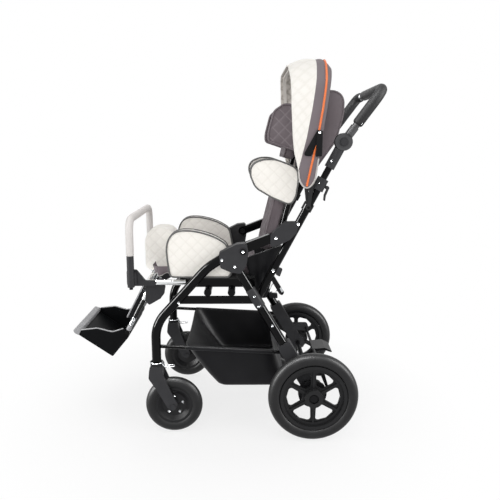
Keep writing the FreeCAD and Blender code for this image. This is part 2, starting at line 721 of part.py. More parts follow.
def brake_bar():
    """Cross shaft with a foot pedal, and an arm with a locking pin beside each rear wheel."""
    arm_half = 7.0
    shaft = pin(BRAKE_SHAFT, BRAKE_SHAFT_R, 1.0 - BRAKE_ARM_OUT, BRAKE_ARM_OUT - 1.0)
    unit, length = direction(BRAKE_SHAFT, BRAKE_TIP)
    square = (-unit[1], unit[0])
    finger = slab(
        [along(BRAKE_SHAFT, square, arm_half), along(BRAKE_TIP, square, BRAKE_PIN_R + 1.0),
         along(BRAKE_TIP, square, -BRAKE_PIN_R - 1.0), along(BRAKE_SHAFT, square, -arm_half)],
        0.5, BRAKE_ARM_IN, BRAKE_ARM_OUT,
    )
    eye = pin(BRAKE_SHAFT, arm_half + 1.0, BRAKE_ARM_IN, BRAKE_ARM_OUT)
    boss = pin(BRAKE_TIP, BRAKE_PIN_R + 1.6, BRAKE_ARM_IN, BRAKE_ARM_OUT)
    tip = pin(BRAKE_TIP, BRAKE_PIN_R, BRAKE_ARM_IN + 1.0, BRAKE_PIN_END)
    fingers = [finger, eye, boss, tip]
    fingers += [other_side(piece) for piece in fingers]
    x, z = BRAKE_SHAFT
    pedal = slab(
        [(x - 6, z - 3), (x - 6, z + PEDAL_THICK), (x + 0.6 * PEDAL_LENGTH, z + PEDAL_THICK + 4),
         (x + PEDAL_LENGTH, z - 4), (x + PEDAL_LENGTH - 3, z - 8), (x + 0.6 * PEDAL_LENGTH, z)],
        2.0, -PEDAL_WIDTH / 2, PEDAL_WIDTH / 2,
    )
    return shaft.fuse(fingers + [pedal]).removeSplitter()


def frame_bolts():
    """Fold pivots with their heads, and the bolts that show on the side hubs."""
    pivot = pin(FOLD_PIVOT, PIN_R, LINK_IN - 1.0, HUB_OUT + 1.0)
    head = pin(FOLD_PIVOT, PIN_HEAD_R, HUB_OUT + FIT, HUB_OUT + FIT + PIN_HEAD)
    nut = pin(FOLD_PIVOT, PIN_HEAD_R - 1.0, LINK_IN - 1.0 - PIN_HEAD, LINK_IN - 1.0)
    return pair(pivot.fuse([head, nut]).removeSplitter())


# Seat base

def side_strut():
    """Flat stretcher from the front leg to a saddle that takes the foot of the push tube."""
    y_out = LEG_IN - FIT
    y_in = y_out - STRUT_THICK
    rear_x = PUSH_FOOT[0]
    points = [
        (STRUT_FRONT_X, STRUT_Z - STRUT_HEIGHT / 2), (STRUT_FRONT_X, STRUT_TOP),
        (rear_x, STRUT_TOP), (rear_x, STRUT_Z - STRUT_HEIGHT / 2),
    ]
    body = slab(points, 5.0, y_in, y_out)
    foot = along(PUSH_FOOT, PUSH_UNIT, -SADDLE_BACK)
    crest = along(PUSH_FOOT, PUSH_UNIT, SADDLE_BACK)
    back = (PUSH_UNIT[1], -PUSH_UNIT[0])
    behind = slab(
        [foot, crest, along(crest, back, SADDLE_BACK), along(foot, back, SADDLE_BACK)], 0.5, y_in - 1.0, y_out + 1.0,
    )
    return body.cut([bar(foot, crest, PUSH_R + SEAT, PUSH_Y), behind])


def seat_base_tubes():
    """Both side stretchers and the two cross tubes that lie on them."""
    half = LEG_IN - FIT - STRUT_THICK / 4
    z = STRUT_TOP + FIT + CROSS_TUBE_R
    strut = side_strut()
    cross = [pin((x, z), CROSS_TUBE_R, -half, half) for x in CROSS_TUBE_X]
    return Part.Compound([other_side(strut), strut] + cross)


def seat_rail():
    """Rectangular guide that the chrome seat frame slides in."""
    half = RAIL_WIDTH / 2
    body = block(
        (RAIL_FRONT_X, RAIL_REAR_X), (RAIL_Y - half, RAIL_Y + half), (RAIL_BOTTOM, RAIL_TOP),
    )
    bore = bar((RAIL_FRONT_X - 1.0, RAIL_Z), (RAIL_REAR_X + 1.0, RAIL_Z), SLIDE_R + RUN, RAIL_Y)
    return body.cut(bore)


def seat_slide_frame():
    """Chrome tube bent round the front of the seat, with the plate that carries the pommel."""
    corners = [
        V(SLIDE_REAR_X, -RAIL_Y, RAIL_Z), V(SLIDE_FRONT_X, -RAIL_Y, RAIL_Z),
        V(SLIDE_FRONT_X, RAIL_Y, RAIL_Z), V(SLIDE_REAR_X, RAIL_Y, RAIL_Z),
    ]
    frame = tube(corners, SLIDE_R, (SLIDE_BEND, SLIDE_BEND))
    top = RAIL_TOP
    plate = block(
        (SLIDE_FRONT_X - SLIDE_R, SLIDE_FRONT_X + POMMEL_PLATE_LENGTH),
        (-POMMEL_PLATE_HALF, POMMEL_PLATE_HALF), (top - POMMEL_PLATE, top),
    )
    return frame.fuse(plate).removeSplitter()


def seat_pan():
    """Board across the two rails that carries the cushion and the thigh supports."""
    half = RAIL_Y + RAIL_WIDTH / 2
    board = block((RAIL_FRONT_X, RAIL_REAR_X), (-half, half), (RAIL_TOP + FIT, PAN_TOP))
    uprights = [edge for edge in board.Edges if abs(edge.tangentAt(edge.FirstParameter).z) > 0.9]
    return board.makeFillet(PAN_CORNER, uprights)


def seat_cushion():
    pad = cushion(
        SEAT_PAD_HALF, SEAT_PAD_REAR_X - SEAT_PAD_FRONT_X, SEAT_PAD_HEIGHT, SEAT_PAD_CORNER, SEAT_PAD_PINCH,
    )
    pad.rotate(V(0, 0, 0), V(1, 0, 0), 90)
    pad.rotate(V(0, 0, 0), V(0, 0, 1), -90)
    box = pad.optimalBoundingBox()
    pad.translate(V(SEAT_PAD_FRONT_X - box.XMin, -box.Center.y, PAN_TOP + SEAT - box.ZMin))
    return pad


def thigh_support():
    anchor = (THIGH_ANCHOR_X, PAN_TOP + SEAT)
    inner = SEAT_PAD_HALF + THIGH_GAP
    return pillow(shifted(THIGH_OUTLINE, anchor), 26.0, inner, inner + THIGH_PAD, 0.86)


def pommel():
    anchor = (POMMEL_ANCHOR_X, RAIL_TOP + SEAT)
    return pillow(shifted(POMMEL_OUTLINE, anchor), 24.0, -POMMEL_HALF, POMMEL_HALF, 0.84)


# Basket

def rear_leg_at(z):
    share = (z - REAR_LEG_TOP[1]) / REAR_LEG_UNIT[1]
    return along(REAR_LEG_TOP, REAR_LEG_UNIT, share)


def basket_rod():
    """Steel rod from the front leg to the rear leg, run through the basket's hem."""
    end = rear_leg_at(ROD_REAR_Z)
    rod = bar(ROD_FRONT, end, ROD_R, ROD_Y)
    front = Part.makeCylinder(LEG_R + FIT, KNEE_Z, V(CASTER_X, LEG_Y, 0))
    boot = axle_bracket()
    rod = rod.cut([front, rear_leg_bar(LEG_R + FIT, FIT), boot])
    pieces = sorted(rod.Solids, key=lambda solid: solid.Volume)
    return pieces[-1]


def basket_shell(wall, lift):
    """Tapered bag: a floor and a wider mouth whose hems lie against the rods."""
    hem_half = ROD_Y - ROD_R - SEAT + HEM_FLARE
    unit, length = direction(ROD_FRONT, rear_leg_at(ROD_REAR_Z))
    slope = unit[1] / unit[0]

    def rod_z(x):
        return ROD_FRONT[1] + slope * (x - ROD_FRONT[0])
    front = BASKET_TOP_FRONT_X
    rear = BASKET_TOP_REAR_X
    crown = BASKET_HEM / 2 + lift
    top = [
        V(front + wall, -hem_half + wall, rod_z(front) + crown), V(rear - wall, -hem_half + wall, rod_z(rear) + crown),
        V(rear - wall, hem_half - wall, rod_z(rear) + crown), V(front + wall, hem_half - wall, rod_z(front) + crown),
    ]
    floor_half = BASKET_FLOOR_HALF - wall
    floor_z = BASKET_FLOOR_Z + wall
    floor_x = (BASKET_FLOOR_FRONT_X + wall, BASKET_FLOOR_REAR_X - wall)
    floor = [
        V(floor_x[0], -floor_half, floor_z), V(floor_x[1], -floor_half, floor_z),
        V(floor_x[1], floor_half, floor_z), V(floor_x[0], floor_half, floor_z),
    ]
    wires = [Part.makePolygon(floor + floor[:1]), Part.makePolygon(top + top[:1])]
    return Part.makeLoft(wires, True, True)


def basket():
    return basket_shell(0.0, 0.0).cut(basket_shell(BASKET_WALL, OVERCUT))


# Back frame that folds

def push_tube():
    body = Part.makeCylinder(PUSH_R, PUSH_LENGTH, V(0, PUSH_Y, 0))
    bore_from = PUSH_LENGTH - POST_INSIDE - BORE_EXTRA
    bore = Part.makeCylinder(POST_R + RUN, PUSH_LENGTH, V(0, PUSH_Y, bore_from))
    return placed(body.cut(bore), PUSH_LEAN, PUSH_FOOT)


def recline_axle():
    """Cross tube between the push tubes, on which the backrest turns."""
    rod = pin(RECLINE, RECLINE_R, -PUSH_Y, PUSH_Y)
    sockets = [bar(PUSH_FOOT, HANDLE_JOINT, PUSH_R + FIT, side * PUSH_Y) for side in (-1, 1)]
    pieces = rod.cut(sockets).Solids
    return max(pieces, key=lambda solid: solid.Volume)


def arm_link_body(grow):
    """Side arm from the fold pivot back into the connector."""
    unit, length = direction(FOLD_PIVOT, LINK_END)
    square = (-unit[1], unit[0])
    half = LINK_HEIGHT / 2 + grow
    end = along(LINK_END, unit, grow)
    points = [
        along(FOLD_PIVOT, square, half), along(end, square, half),
        along(end, square, -half), along(FOLD_PIVOT, square, -half),
    ]
    arm = slab(points, 0.5, LINK_IN - grow, LINK_OUT + grow)
    eye = pin(FOLD_PIVOT, LINK_EYE_R + grow, LINK_IN - grow, LINK_OUT + grow)
    return arm.fuse(eye)


def arm_link():
    bore = pin(FOLD_PIVOT, PIN_R + RUN, LINK_IN - 1.0, LINK_OUT + 1.0)
    return arm_link_body(0.0).removeSplitter().cut(bore)


def upper_connector():
    """Moulded block that clamps the arm to the push tube."""
    anchor = along(PUSH_FOOT, PUSH_UNIT, (LINK_END[1] - PUSH_FOOT[1]) / PUSH_UNIT[1])
    body = slab(
        shifted(CONNECTOR_OUTLINE, anchor), CONNECTOR_CORNER, PUSH_Y - CONNECTOR_HALF, PUSH_Y + CONNECTOR_HALF,
    )
    return body.cut([bar(PUSH_FOOT, HANDLE_JOINT, PUSH_R + FIT, PUSH_Y), arm_link_body(FIT)])


def telescope_collar():
    """Clamp ring at the top of the push tube, with the lug of its cam lever."""
    bottom = PUSH_LENGTH - COLLAR_LENGTH + FIT
    ring = Part.makeCylinder(COLLAR_R, COLLAR_LENGTH, V(0, PUSH_Y, bottom))
    x, z = LEVER_PIVOT
    side = LEVER_WIDTH / 4
    lug = block((COLLAR_R - COLLAR_LUG, x), (PUSH_Y - side, PUSH_Y + side), (z - COLLAR_LUG, z + COLLAR_LUG))
    nose = pin(LEVER_PIVOT, COLLAR_LUG, PUSH_Y - side, PUSH_Y + side)
    post = pin(LEVER_PIVOT, LEVER_PIN_R, PUSH_Y - LEVER_WIDTH / 2, PUSH_Y + LEVER_WIDTH / 2)
    bore = Part.makeCylinder(PUSH_R + FIT, PUSH_LENGTH + COLLAR_LENGTH, V(0, PUSH_Y, 0))
    whole = ring.cut(bore)
    return placed(whole.fuse([lug.cut(bore), nose, post]).removeSplitter(), PUSH_LEAN, PUSH_FOOT)


def clamp_lever():
    """Forked cam lever lying down along the push tube."""
    half = LEVER_WIDTH / 2
    eye_r = LEVER_EYE_R
    eye = pin(LEVER_PIVOT, eye_r, PUSH_Y - half, PUSH_Y + half)
    x, z = LEVER_PIVOT
    arm = slab(
        [(x + 0.5, z), (x + eye_r, z), (x + eye_r + 2, z - 0.6 * LEVER_LENGTH),
         (x + eye_r + 8, z - LEVER_LENGTH), (x + eye_r + 8 - LEVER_THICK, z - LEVER_LENGTH),
         (x + eye_r + 1 - LEVER_THICK, z - 0.6 * LEVER_LENGTH)],
        1.5, PUSH_Y - half, PUSH_Y + half,
    )
    reach = COLLAR_LUG + LEVER_GAP
    slot = pin(LEVER_PIVOT, eye_r + LEVER_GAP, PUSH_Y - half / 2 - SEAT, PUSH_Y + half / 2 + SEAT)
    mouth = block(
        (x - 3 * eye_r, x), (PUSH_Y - half / 2 - SEAT, PUSH_Y + half / 2 + SEAT), (z - 2 * reach, z + reach),
    )
    bore = pin(LEVER_PIVOT, LEVER_PIN_R + RUN, PUSH_Y - LEVER_WIDTH, PUSH_Y + LEVER_WIDTH)
    return placed(eye.fuse(arm).removeSplitter().cut([slot, mouth, bore]), PUSH_LEAN, PUSH_FOOT)


def turned_point(local, lean, origin):
    """Side-view place of a point that was drawn upright."""
    turned = FreeCAD.Rotation(V(0, 1, 0), lean).multVec(V(local[0], 0, local[1]))
    return (origin[0] + turned.x, origin[1] + turned.z)


def canopy_clip():
    """Half clip on the outside of the push tube, with the pin both canopy ribs turn on."""
    ring = Part.makeCylinder(CLIP_R, CLIP_LENGTH, V(0, PUSH_Y, CANOPY_S - CLIP_LENGTH / 2))
    inner = block(
        (-2 * CLIP_R, 2 * CLIP_R), (PUSH_Y - 2 * CLIP_R, PUSH_Y - PUSH_R / 2),
        (CANOPY_S - CLIP_LENGTH, CANOPY_S + CLIP_LENGTH),
    )
    outer = block(
        (-2 * CLIP_R, 2 * CLIP_R), (RIB_IN - RIB_THICK - SEAT, PUSH_Y + 2 * CLIP_R),
        (CANOPY_S - CLIP_LENGTH, CANOPY_S + CLIP_LENGTH),
    )
    bore = Part.makeCylinder(PUSH_R + FIT, PUSH_LENGTH, V(0, PUSH_Y, 0))
    stud = pin((0, CANOPY_S), CLIP_PIN_R, PUSH_Y + PUSH_R + FIT, RIB_IN + RIB_THICK + 2 * SEAT)
    return placed(ring.cut([inner, outer, bore]).fuse(stud).removeSplitter(), PUSH_LEAN, PUSH_FOOT)


# Handle

def handle_post():
    length = JOINT_S - PUSH_LENGTH + POST_INSIDE - JOINT_R
    start = PUSH_LENGTH - POST_INSIDE
    return placed(Part.makeCylinder(POST_R, length, V(0, PUSH_Y, start)), PUSH_LEAN, PUSH_FOOT)


def handle_joint():
    """Lower half of the tilt joint: sleeve over the post, disc and hinge pin."""
    sleeve = Part.makeCylinder(SOCKET_R, SOCKET_LENGTH, V(0, PUSH_Y, JOINT_S - SOCKET_LENGTH))
    upper = pin((0, JOINT_S), JOINT_R + 1.0, PUSH_Y, PUSH_Y + 2 * JOINT_HALF)
    disc = pin((0, JOINT_S), JOINT_R, PUSH_Y - JOINT_HALF, PUSH_Y - JOINT_SPLIT / 2)
    stud = pin((0, JOINT_S), JOINT_PIN_R, PUSH_Y - JOINT_HALF, PUSH_Y + JOINT_HALF / 3)
    top = block(
        (-2 * JOINT_R, 2 * JOINT_R), (PUSH_Y - JOINT_SPLIT / 2, PUSH_Y + 2 * JOINT_R),
        (JOINT_S - JOINT_R, JOINT_S + 2 * JOINT_R),
    )
    bore = Part.makeCylinder(POST_R + FIT, JOINT_S - JOINT_R + FIT, V(0, PUSH_Y, 0))
    whole = sleeve.cut([upper, top]).fuse(disc).cut(bore).fuse(stud).removeSplitter()
    return placed(whole, PUSH_LEAN, PUSH_FOOT)


def bar_points():
    """Corners of the handle bar: up from one joint, across, and down to the other."""
    rise = math.radians(BAR_RISE)
    top = (HANDLE_JOINT[0] + BAR_REACH * math.cos(rise), HANDLE_JOINT[1] + BAR_REACH * math.sin(rise))
    side = PUSH_Y + BAR_OUT
    foot = along(HANDLE_JOINT, (math.cos(rise), math.sin(rise)), JOINT_R - 4.0)
    return [at(foot, -side), at(top, -side), at(top, side), at(foot, side)]


def handle_bar():
    """Bent steel bar with the upper half of the tilt joint moulded on each end."""
    bent = tube(bar_points(), BAR_R, (BAR_BEND, BAR_BEND))
    y_in = PUSH_Y + JOINT_SPLIT / 2
    y_out = PUSH_Y + JOINT_HALF
    disc = pin(HANDLE_JOINT, JOINT_R, y_in, y_out)
    neck_top = along(HANDLE_JOINT, direction_of(BAR_RISE), GRIP_START - 10.0)
    neck = bar(HANDLE_JOINT, neck_top, BAR_R + 2.5, PUSH_Y + BAR_OUT)
    inside = pin(HANDLE_JOINT, 3 * JOINT_R, PUSH_Y - 2 * JOINT_R, y_in)
    outside = pin(HANDLE_JOINT, JOINT_R, y_out, y_out + JOINT_R)
    below = pin(HANDLE_JOINT, BUTTON_R + SEAT, y_out - BUTTON_DEEP, y_out + 1.0)
    bore = pin(HANDLE_JOINT, JOINT_PIN_R + RUN, y_in - 1.0, y_in + JOINT_HALF / 3 + 1.0)
    ends = disc.fuse(neck.cut([inside, outside])).removeSplitter().cut([below, bore])
    hollow = [inside, outside, below, bore]
    hollow += [other_side(piece) for piece in hollow]
    return bent.cut(hollow).fuse([ends, other_side(ends)]).removeSplitter()


def direction_of(degrees):
    return (math.cos(math.radians(degrees)), math.sin(math.radians(degrees)))


def joint_button():
    y_out = PUSH_Y + JOINT_HALF
    start = y_out - BUTTON_DEEP + BUTTON_TRAVEL + SEAT
    base = pin(HANDLE_JOINT, BUTTON_R, start, y_out + BUTTON_TRAVEL)
    cap = pin(HANDLE_JOINT, BUTTON_R - 2.5, y_out + BUTTON_TRAVEL, y_out + BUTTON_TRAVEL + 1.2)
    return base.fuse(cap).removeSplitter()


def handle_grip():
    """Foam sleeve over one bend of the bar."""
    points = bar_points()
    start = along(HANDLE_JOINT, direction_of(BAR_RISE), GRIP_START)
    end = V(points[2].x, GRIP_BARE_HALF, points[2].z)
    route = [end, points[2], at(start, points[2].y)]
    outer = tube(route, GRIP_R, (BAR_BEND,))
    inner = tube(route, BAR_R + FIT, (BAR_BEND,))
    return outer.cut(inner)


# Backrest, drawn upright with its hinge at the origin

def on_back(shape):
    return placed(shape, BACK_LEAN, RECLINE)


def backrest_frame():
    """Bent tube with two cross rails, and hinge eyes."""
    corners = [
        V(0, -BACK_TUBE_Y, BACK_EYE_R - 2.0), V(0, -BACK_TUBE_Y, BACK_LENGTH),
        V(0, BACK_TUBE_Y, BACK_LENGTH), V(0, BACK_TUBE_Y, BACK_EYE_R - 2.0),
    ]
    hoop = tube(corners, BACK_TUBE_R, (BACK_BEND, BACK_BEND))
    parts = []
    for s in BACK_RAIL_S:
        parts.append(pin((0, s), BACK_TUBE_R - SEAT, -BACK_TUBE_Y, BACK_TUBE_Y))
    for side in (-1, 1):
        y = side * BACK_TUBE_Y
        parts.append(pin((0, 0), BACK_EYE_R, y - BACK_TUBE_R + EYE_STEP, y + BACK_TUBE_R - EYE_STEP))
    whole = hoop.fuse(parts).removeSplitter()
    return on_back(whole.cut(pin((0, 0), RECLINE_R + RUN, -PUSH_Y, PUSH_Y)))


def standing_cushion(half, s_from, s_to, thick, radius, pinch):
    """A cushion on the front of the backrest tubes."""
    pad = cushion(half, s_to - s_from, thick, radius, pinch)
    pad.rotate(V(0, 0, 0), V(0, 0, 1), 90)
    pad.translate(V(-BACK_TUBE_R - SEAT, 0, s_from))
    return on_back(pad)


def back_cushion():
    return standing_cushion(BACK_PAD_HALF, BACK_PAD_FROM, BACK_PAD_TO, BACK_PAD_THICK, 28.0, 5.0)


def headrest_pad():
    pad = cushion(HEAD_PAD_HALF, HEAD_PAD_TO - HEAD_PAD_FROM, HEAD_PAD_THICK, 26.0, 2.0)
    pad.rotate(V(0, 0, 0), V(0, 0, 1), 90)
    pad.translate(V(-BACK_TUBE_R - HEAD_STEM_THICK - 2 * SEAT, 0, HEAD_PAD_FROM))
    return on_back(pad)


def headrest_stem():
    """Two flat bars behind the head pad that slide between the pad and the cross rails."""
    bars = []
    front = -BACK_TUBE_R - SEAT
    for side in (-1, 1):
        y = side * HEAD_STEM_HALF
        bars.append(block(
            (front - HEAD_STEM_THICK, front), (y - HEAD_STEM_WIDTH / 2, y + HEAD_STEM_WIDTH / 2),
            (HEAD_PAD_TO - HEAD_STEM_BELOW - 20.0, HEAD_PAD_TO - 20.0),
        ))
    tie_z = HEAD_PAD_TO - HEAD_TIE_BELOW
    tie = block((front - HEAD_STEM_THICK, front), (-HEAD_STEM_HALF, HEAD_STEM_HALF), (tie_z - 14.0, tie_z + 14.0))
    return on_back(tie.fuse(bars).removeSplitter())


def headrest_wing():
    inner = HEAD_PAD_HALF + TRUNK_GAP
    return pillow(shifted(WING_OUTLINE, WING_ANCHOR), 18.0, inner, inner + WING_THICK, 0.84)


def trunk_support():
    return pillow(shifted(TRUNK_OUTLINE, TRUNK_ANCHOR), 18.0, TRUNK_IN, TRUNK_IN + TRUNK_PAD, 0.84)


def back_cover():
    """Slack fabric pouch on the rear of the upper backrest."""
    points = shifted(COVER_OUTLINE, (BACK_TUBE_R + SEAT, COVER_FROM))
    sections = ((-1.0, 0.80), (-0.92, 0.92), (-0.6, 0.99), (0.0, 1.0), (0.6, 0.99), (0.92, 0.92), (1.0, 0.80))
    wires = []
    for place, share in sections:
        drawn = [(BACK_TUBE_R + SEAT + (x - BACK_TUBE_R - SEAT) * share, z) for x, z in points]
        wires.append(rounded_outline(drawn, 20.0, place * COVER_HALF))
    return on_back(Part.makeLoft(wires, True, True))


# Canopy, drawn upright with its pivot at the origin

def arch_outline(half, top, corner, start):
    """Open arch in the plane across the object: up one side, over, and down the other."""
    turn = math.sqrt(0.5)
    return [
        Part.LineSegment(V(0, -half, start), V(0, -half, top - corner)).toShape(),
        Part.Arc(
            V(0, -half, top - corner), V(0, -half + corner - corner * turn, top - corner + corner * turn),
            V(0, -half + corner, top),
        ).toShape(),
        Part.LineSegment(V(0, -half + corner, top), V(0, half - corner, top)).toShape(),
        Part.Arc(
            V(0, half - corner, top), V(0, half - corner + corner * turn, top - corner + corner * turn),
            V(0, half, top - corner),
        ).toShape(),
        Part.LineSegment(V(0, half, top - corner), V(0, half, start)).toShape(),
    ]


def arch_band(half, top, corner, start, thick):
    """Closed outline between an arch and a larger one around it."""
    outer = arch_outline(half + thick, top + thick, corner + thick, start)
    inner = arch_outline(half, top, corner, start)
    ends = [
        Part.LineSegment(V(0, half + thick, start), V(0, half, start)).toShape(),
        Part.LineSegment(V(0, -half, start), V(0, -half - thick, start)).toShape(),
    ]
    edges = outer + [ends[0]] + list(reversed(inner)) + [ends[1]]
    return Part.Wire(Part.__sortEdges__(edges))


def canopy_rib(half, angle):
    """Flat strip bent into an arch, with a round eye at each end."""
    strip = Part.Face(arch_band(half, RIB_TOP_R + half - RIB_IN, RIB_CORNER, 0.0, RIB_THICK))
    strip = strip.extrude(V(RIB_WIDTH, 0, 0))
    strip.translate(V(-RIB_WIDTH / 2, 0, 0))
    eye_r = CLIP_PIN_R + 5.0
    eyes = [pin((0, 0), eye_r, half, half + RIB_THICK), pin((0, 0), eye_r, -half - RIB_THICK, -half)]
    bores = pin((0, 0), CLIP_PIN_R + RUN, -2 * half, 2 * half)
    return placed(strip.fuse(eyes).removeSplitter().cut(bores), angle, CANOPY_PIVOT)


def canopy_front_rib():
    return canopy_rib(RIB_IN - RIB_THICK, FRONT_RIB_ANGLE)


def canopy_rear_rib():
    return canopy_rib(RIB_IN + SEAT, REAR_RIB_ANGLE)


def canopy_hood():
    """Gathered hood: two fabric bays that swell between the ribs and the middle seam."""
    half = RIB_IN + RIB_THICK + HOOD_GAP
    top = RIB_TOP_R + RIB_THICK + HOOD_GAP + half - RIB_IN
    swells = (0.0, HOOD_SWELL, 0.0, HOOD_SWELL, 0.0)
    wires = []
    for angle, swell in zip(HOOD_ANGLES, swells):
        wire = arch_band(half, top + swell, RIB_CORNER, HOOD_START, HOOD_THICK)
        wire.rotate(V(0, 0, 0), V(0, 1, 0), angle)
        wires.append(wire)
    hood = Part.makeLoft(wires, True, True)
    hood.translate(at(CANOPY_PIVOT))
    return hood


# Seat front

def front_bracket():
    """The two plates that clamp the chrome tube: grab bar sleeve outside, quadrant inside."""
    return Part.Compound([sleeve_plate(), leg_quadrant()])


def sleeve_plate():
    """Grab bar sleeve on its plate outside the chrome tube."""
    y_in = RAIL_Y + SLIDE_R + FIT
    corner = (SLIDE_FRONT_X - PLATE_AHEAD, RAIL_Z)
    plate = slab(shifted(PLATE_OUTLINE, corner), PLATE_CORNER, y_in, y_in + PLATE_THICK)
    sleeve = Part.makeCylinder(SLEEVE_R, SLEEVE_TOP_Z - SLEEVE_BOTTOM_Z, V(GRAB_X, GRAB_Y, SLEEVE_BOTTOM_Z))
    web = block(
        (GRAB_X - SLEEVE_WEB_FRONT, GRAB_X + SLEEVE_WEB_REAR), (y_in, GRAB_Y),
        (RAIL_Z - SLEEVE_WEB_BELOW, RAIL_Z + SLEEVE_WEB_ABOVE),
    )
    bore = Part.makeCylinder(GRAB_R + RUN, SLEEVE_TOP_Z, V(GRAB_X, GRAB_Y, SLEEVE_BOTTOM_Z + 3.0))
    return plate.fuse([sleeve, web]).removeSplitter().cut(bore)


def leg_quadrant():
    """Plate inside the chrome tube with the leg rest's pivot pin."""
    y_out = QUADRANT_IN + QUADRANT_THICK
    plate = slab(shifted(QUADRANT_OUTLINE, LEG_PIVOT), 6.0, QUADRANT_IN, y_out)
    stud = pin(LEG_PIVOT, LEG_PIN_R, QUADRANT_IN - 2 * HANGER_R, QUADRANT_IN + 1.0)
    return plate.fuse(stud).removeSplitter()


def grab_route(foot_z):
    return [
        V(GRAB_X, -GRAB_Y, foot_z), V(GRAB_X, -GRAB_Y, GRAB_TOP_Z),
        V(GRAB_X, GRAB_Y, GRAB_TOP_Z), V(GRAB_X, GRAB_Y, foot_z),
    ]


def grab_bar():
    return tube(grab_route(SLEEVE_BOTTOM_Z + GRAB_FOOT), GRAB_R, (GRAB_BEND, GRAB_BEND))


def grab_foam():
    route = grab_route(SLEEVE_TOP_Z + SEAT)
    outer = tube(route, GRAB_FOAM_R, (GRAB_BEND, GRAB_BEND))
    return outer.cut(tube(route, GRAB_R + FIT, (GRAB_BEND, GRAB_BEND)))


# Leg rest, drawn hanging straight down from its pivot

def on_leg(shape):
    return placed(shape, LEG_LEAN, LEG_PIVOT)


def legrest_frame():
    """Two hanger tubes tied by a rod, with their pivot eyes and the bores of the foot rods."""
    parts = []
    bores = []
    for side in (-1, 1):
        y = side * HANGER_Y
        parts.append(Part.makeCylinder(HANGER_R, HANGER_LENGTH, V(0, y, -HANGER_LENGTH)))
        parts.append(pin((0, 0), HANGER_EYE_R, y - HANGER_R + EYE_STEP, y + HANGER_R - EYE_STEP))
        bores.append(Part.makeCylinder(
            FOOT_ROD_R + RUN, HANGER_LENGTH, V(0, y, -HANGER_LENGTH - FOOT_ROD_TOP + BORE_EXTRA),
        ))
    tie = pin((0, -FOOT_ROD_TOP / 2), FOOT_ROD_R, -HANGER_Y, HANGER_Y)
    whole = tie.fuse(parts).removeSplitter()
    bores.append(pin((0, 0), LEG_PIN_R + RUN, -2 * HANGER_Y, 2 * HANGER_Y))
    return on_leg(whole.cut(bores))


def calf_panel():
    """Padded panel in front of the tie rod, between the hangers."""
    half = HANGER_Y - HANGER_R - 2 * SEAT
    pad = cushion(half, CALF_TO - CALF_FROM, CALF_THICK, 16.0, 3.0)
    pad.rotate(V(0, 0, 0), V(0, 0, 1), 90)
    pad.translate(V(-FOOT_ROD_R - SEAT, 0, -CALF_TO))
    return on_leg(pad)


def footrest_frame():
    """Two sliding rods joined by the cross rod that the foot box turns on."""
    rods = [pin((0, -FOOT_AXLE_S), FOOT_ROD_R, -HANGER_Y, HANGER_Y)]
    for side in (-1, 1):
        y = side * HANGER_Y
        rods.append(Part.makeCylinder(FOOT_ROD_R, FOOT_AXLE_S - FOOT_ROD_TOP, V(0, y, -FOOT_AXLE_S)))
        rods.append(pin((0, -FOOT_AXLE_S), FOOT_ROD_R + 2.0, y - FOOT_ROD_R + EYE_STEP, y + FOOT_ROD_R - EYE_STEP))
    return on_leg(rods[0].fuse(rods[1:]).removeSplitter())


def footplate():
    """Open foot box: tilted sole, heel wall and two low sides, hinged at its heel."""
    axle = turned_point((0, -FOOT_AXLE_S), LEG_LEAN, LEG_PIVOT)
    points = shifted(FOOT_OUTLINE, axle)
    heel, toe = points[0], points[1]
    sole_unit, sole_length = direction(heel, toe)
    up = (sole_unit[1], -sole_unit[0])
    heel_top = points[7]
    heel_unit, heel_length = direction(heel, heel_top)
    shell = slab(points, 5.0, -FOOT_HALF, FOOT_HALF)
    corner = along(along(heel, up, FOOT_SOLE), sole_unit, FOOT_SOLE)
    room = [
        corner, along(corner, sole_unit, 2 * sole_length),
        along(along(corner, sole_unit, 2 * sole_length), up, 2 * sole_length),
        along(corner, heel_unit, 2 * sole_length),
    ]
    inside = slab(room, 4.0, FOOT_WALL - FOOT_HALF, FOOT_HALF - FOOT_WALL)
    eye = pin(axle, FOOT_EYE_R, -FOOT_HALF, FOOT_HALF)
    return shell.cut(inside).fuse(eye).removeSplitter().cut(pin(axle, FOOT_ROD_R + RUN, -2 * FOOT_HALF, 2 * FOOT_HALF))


# Assembly

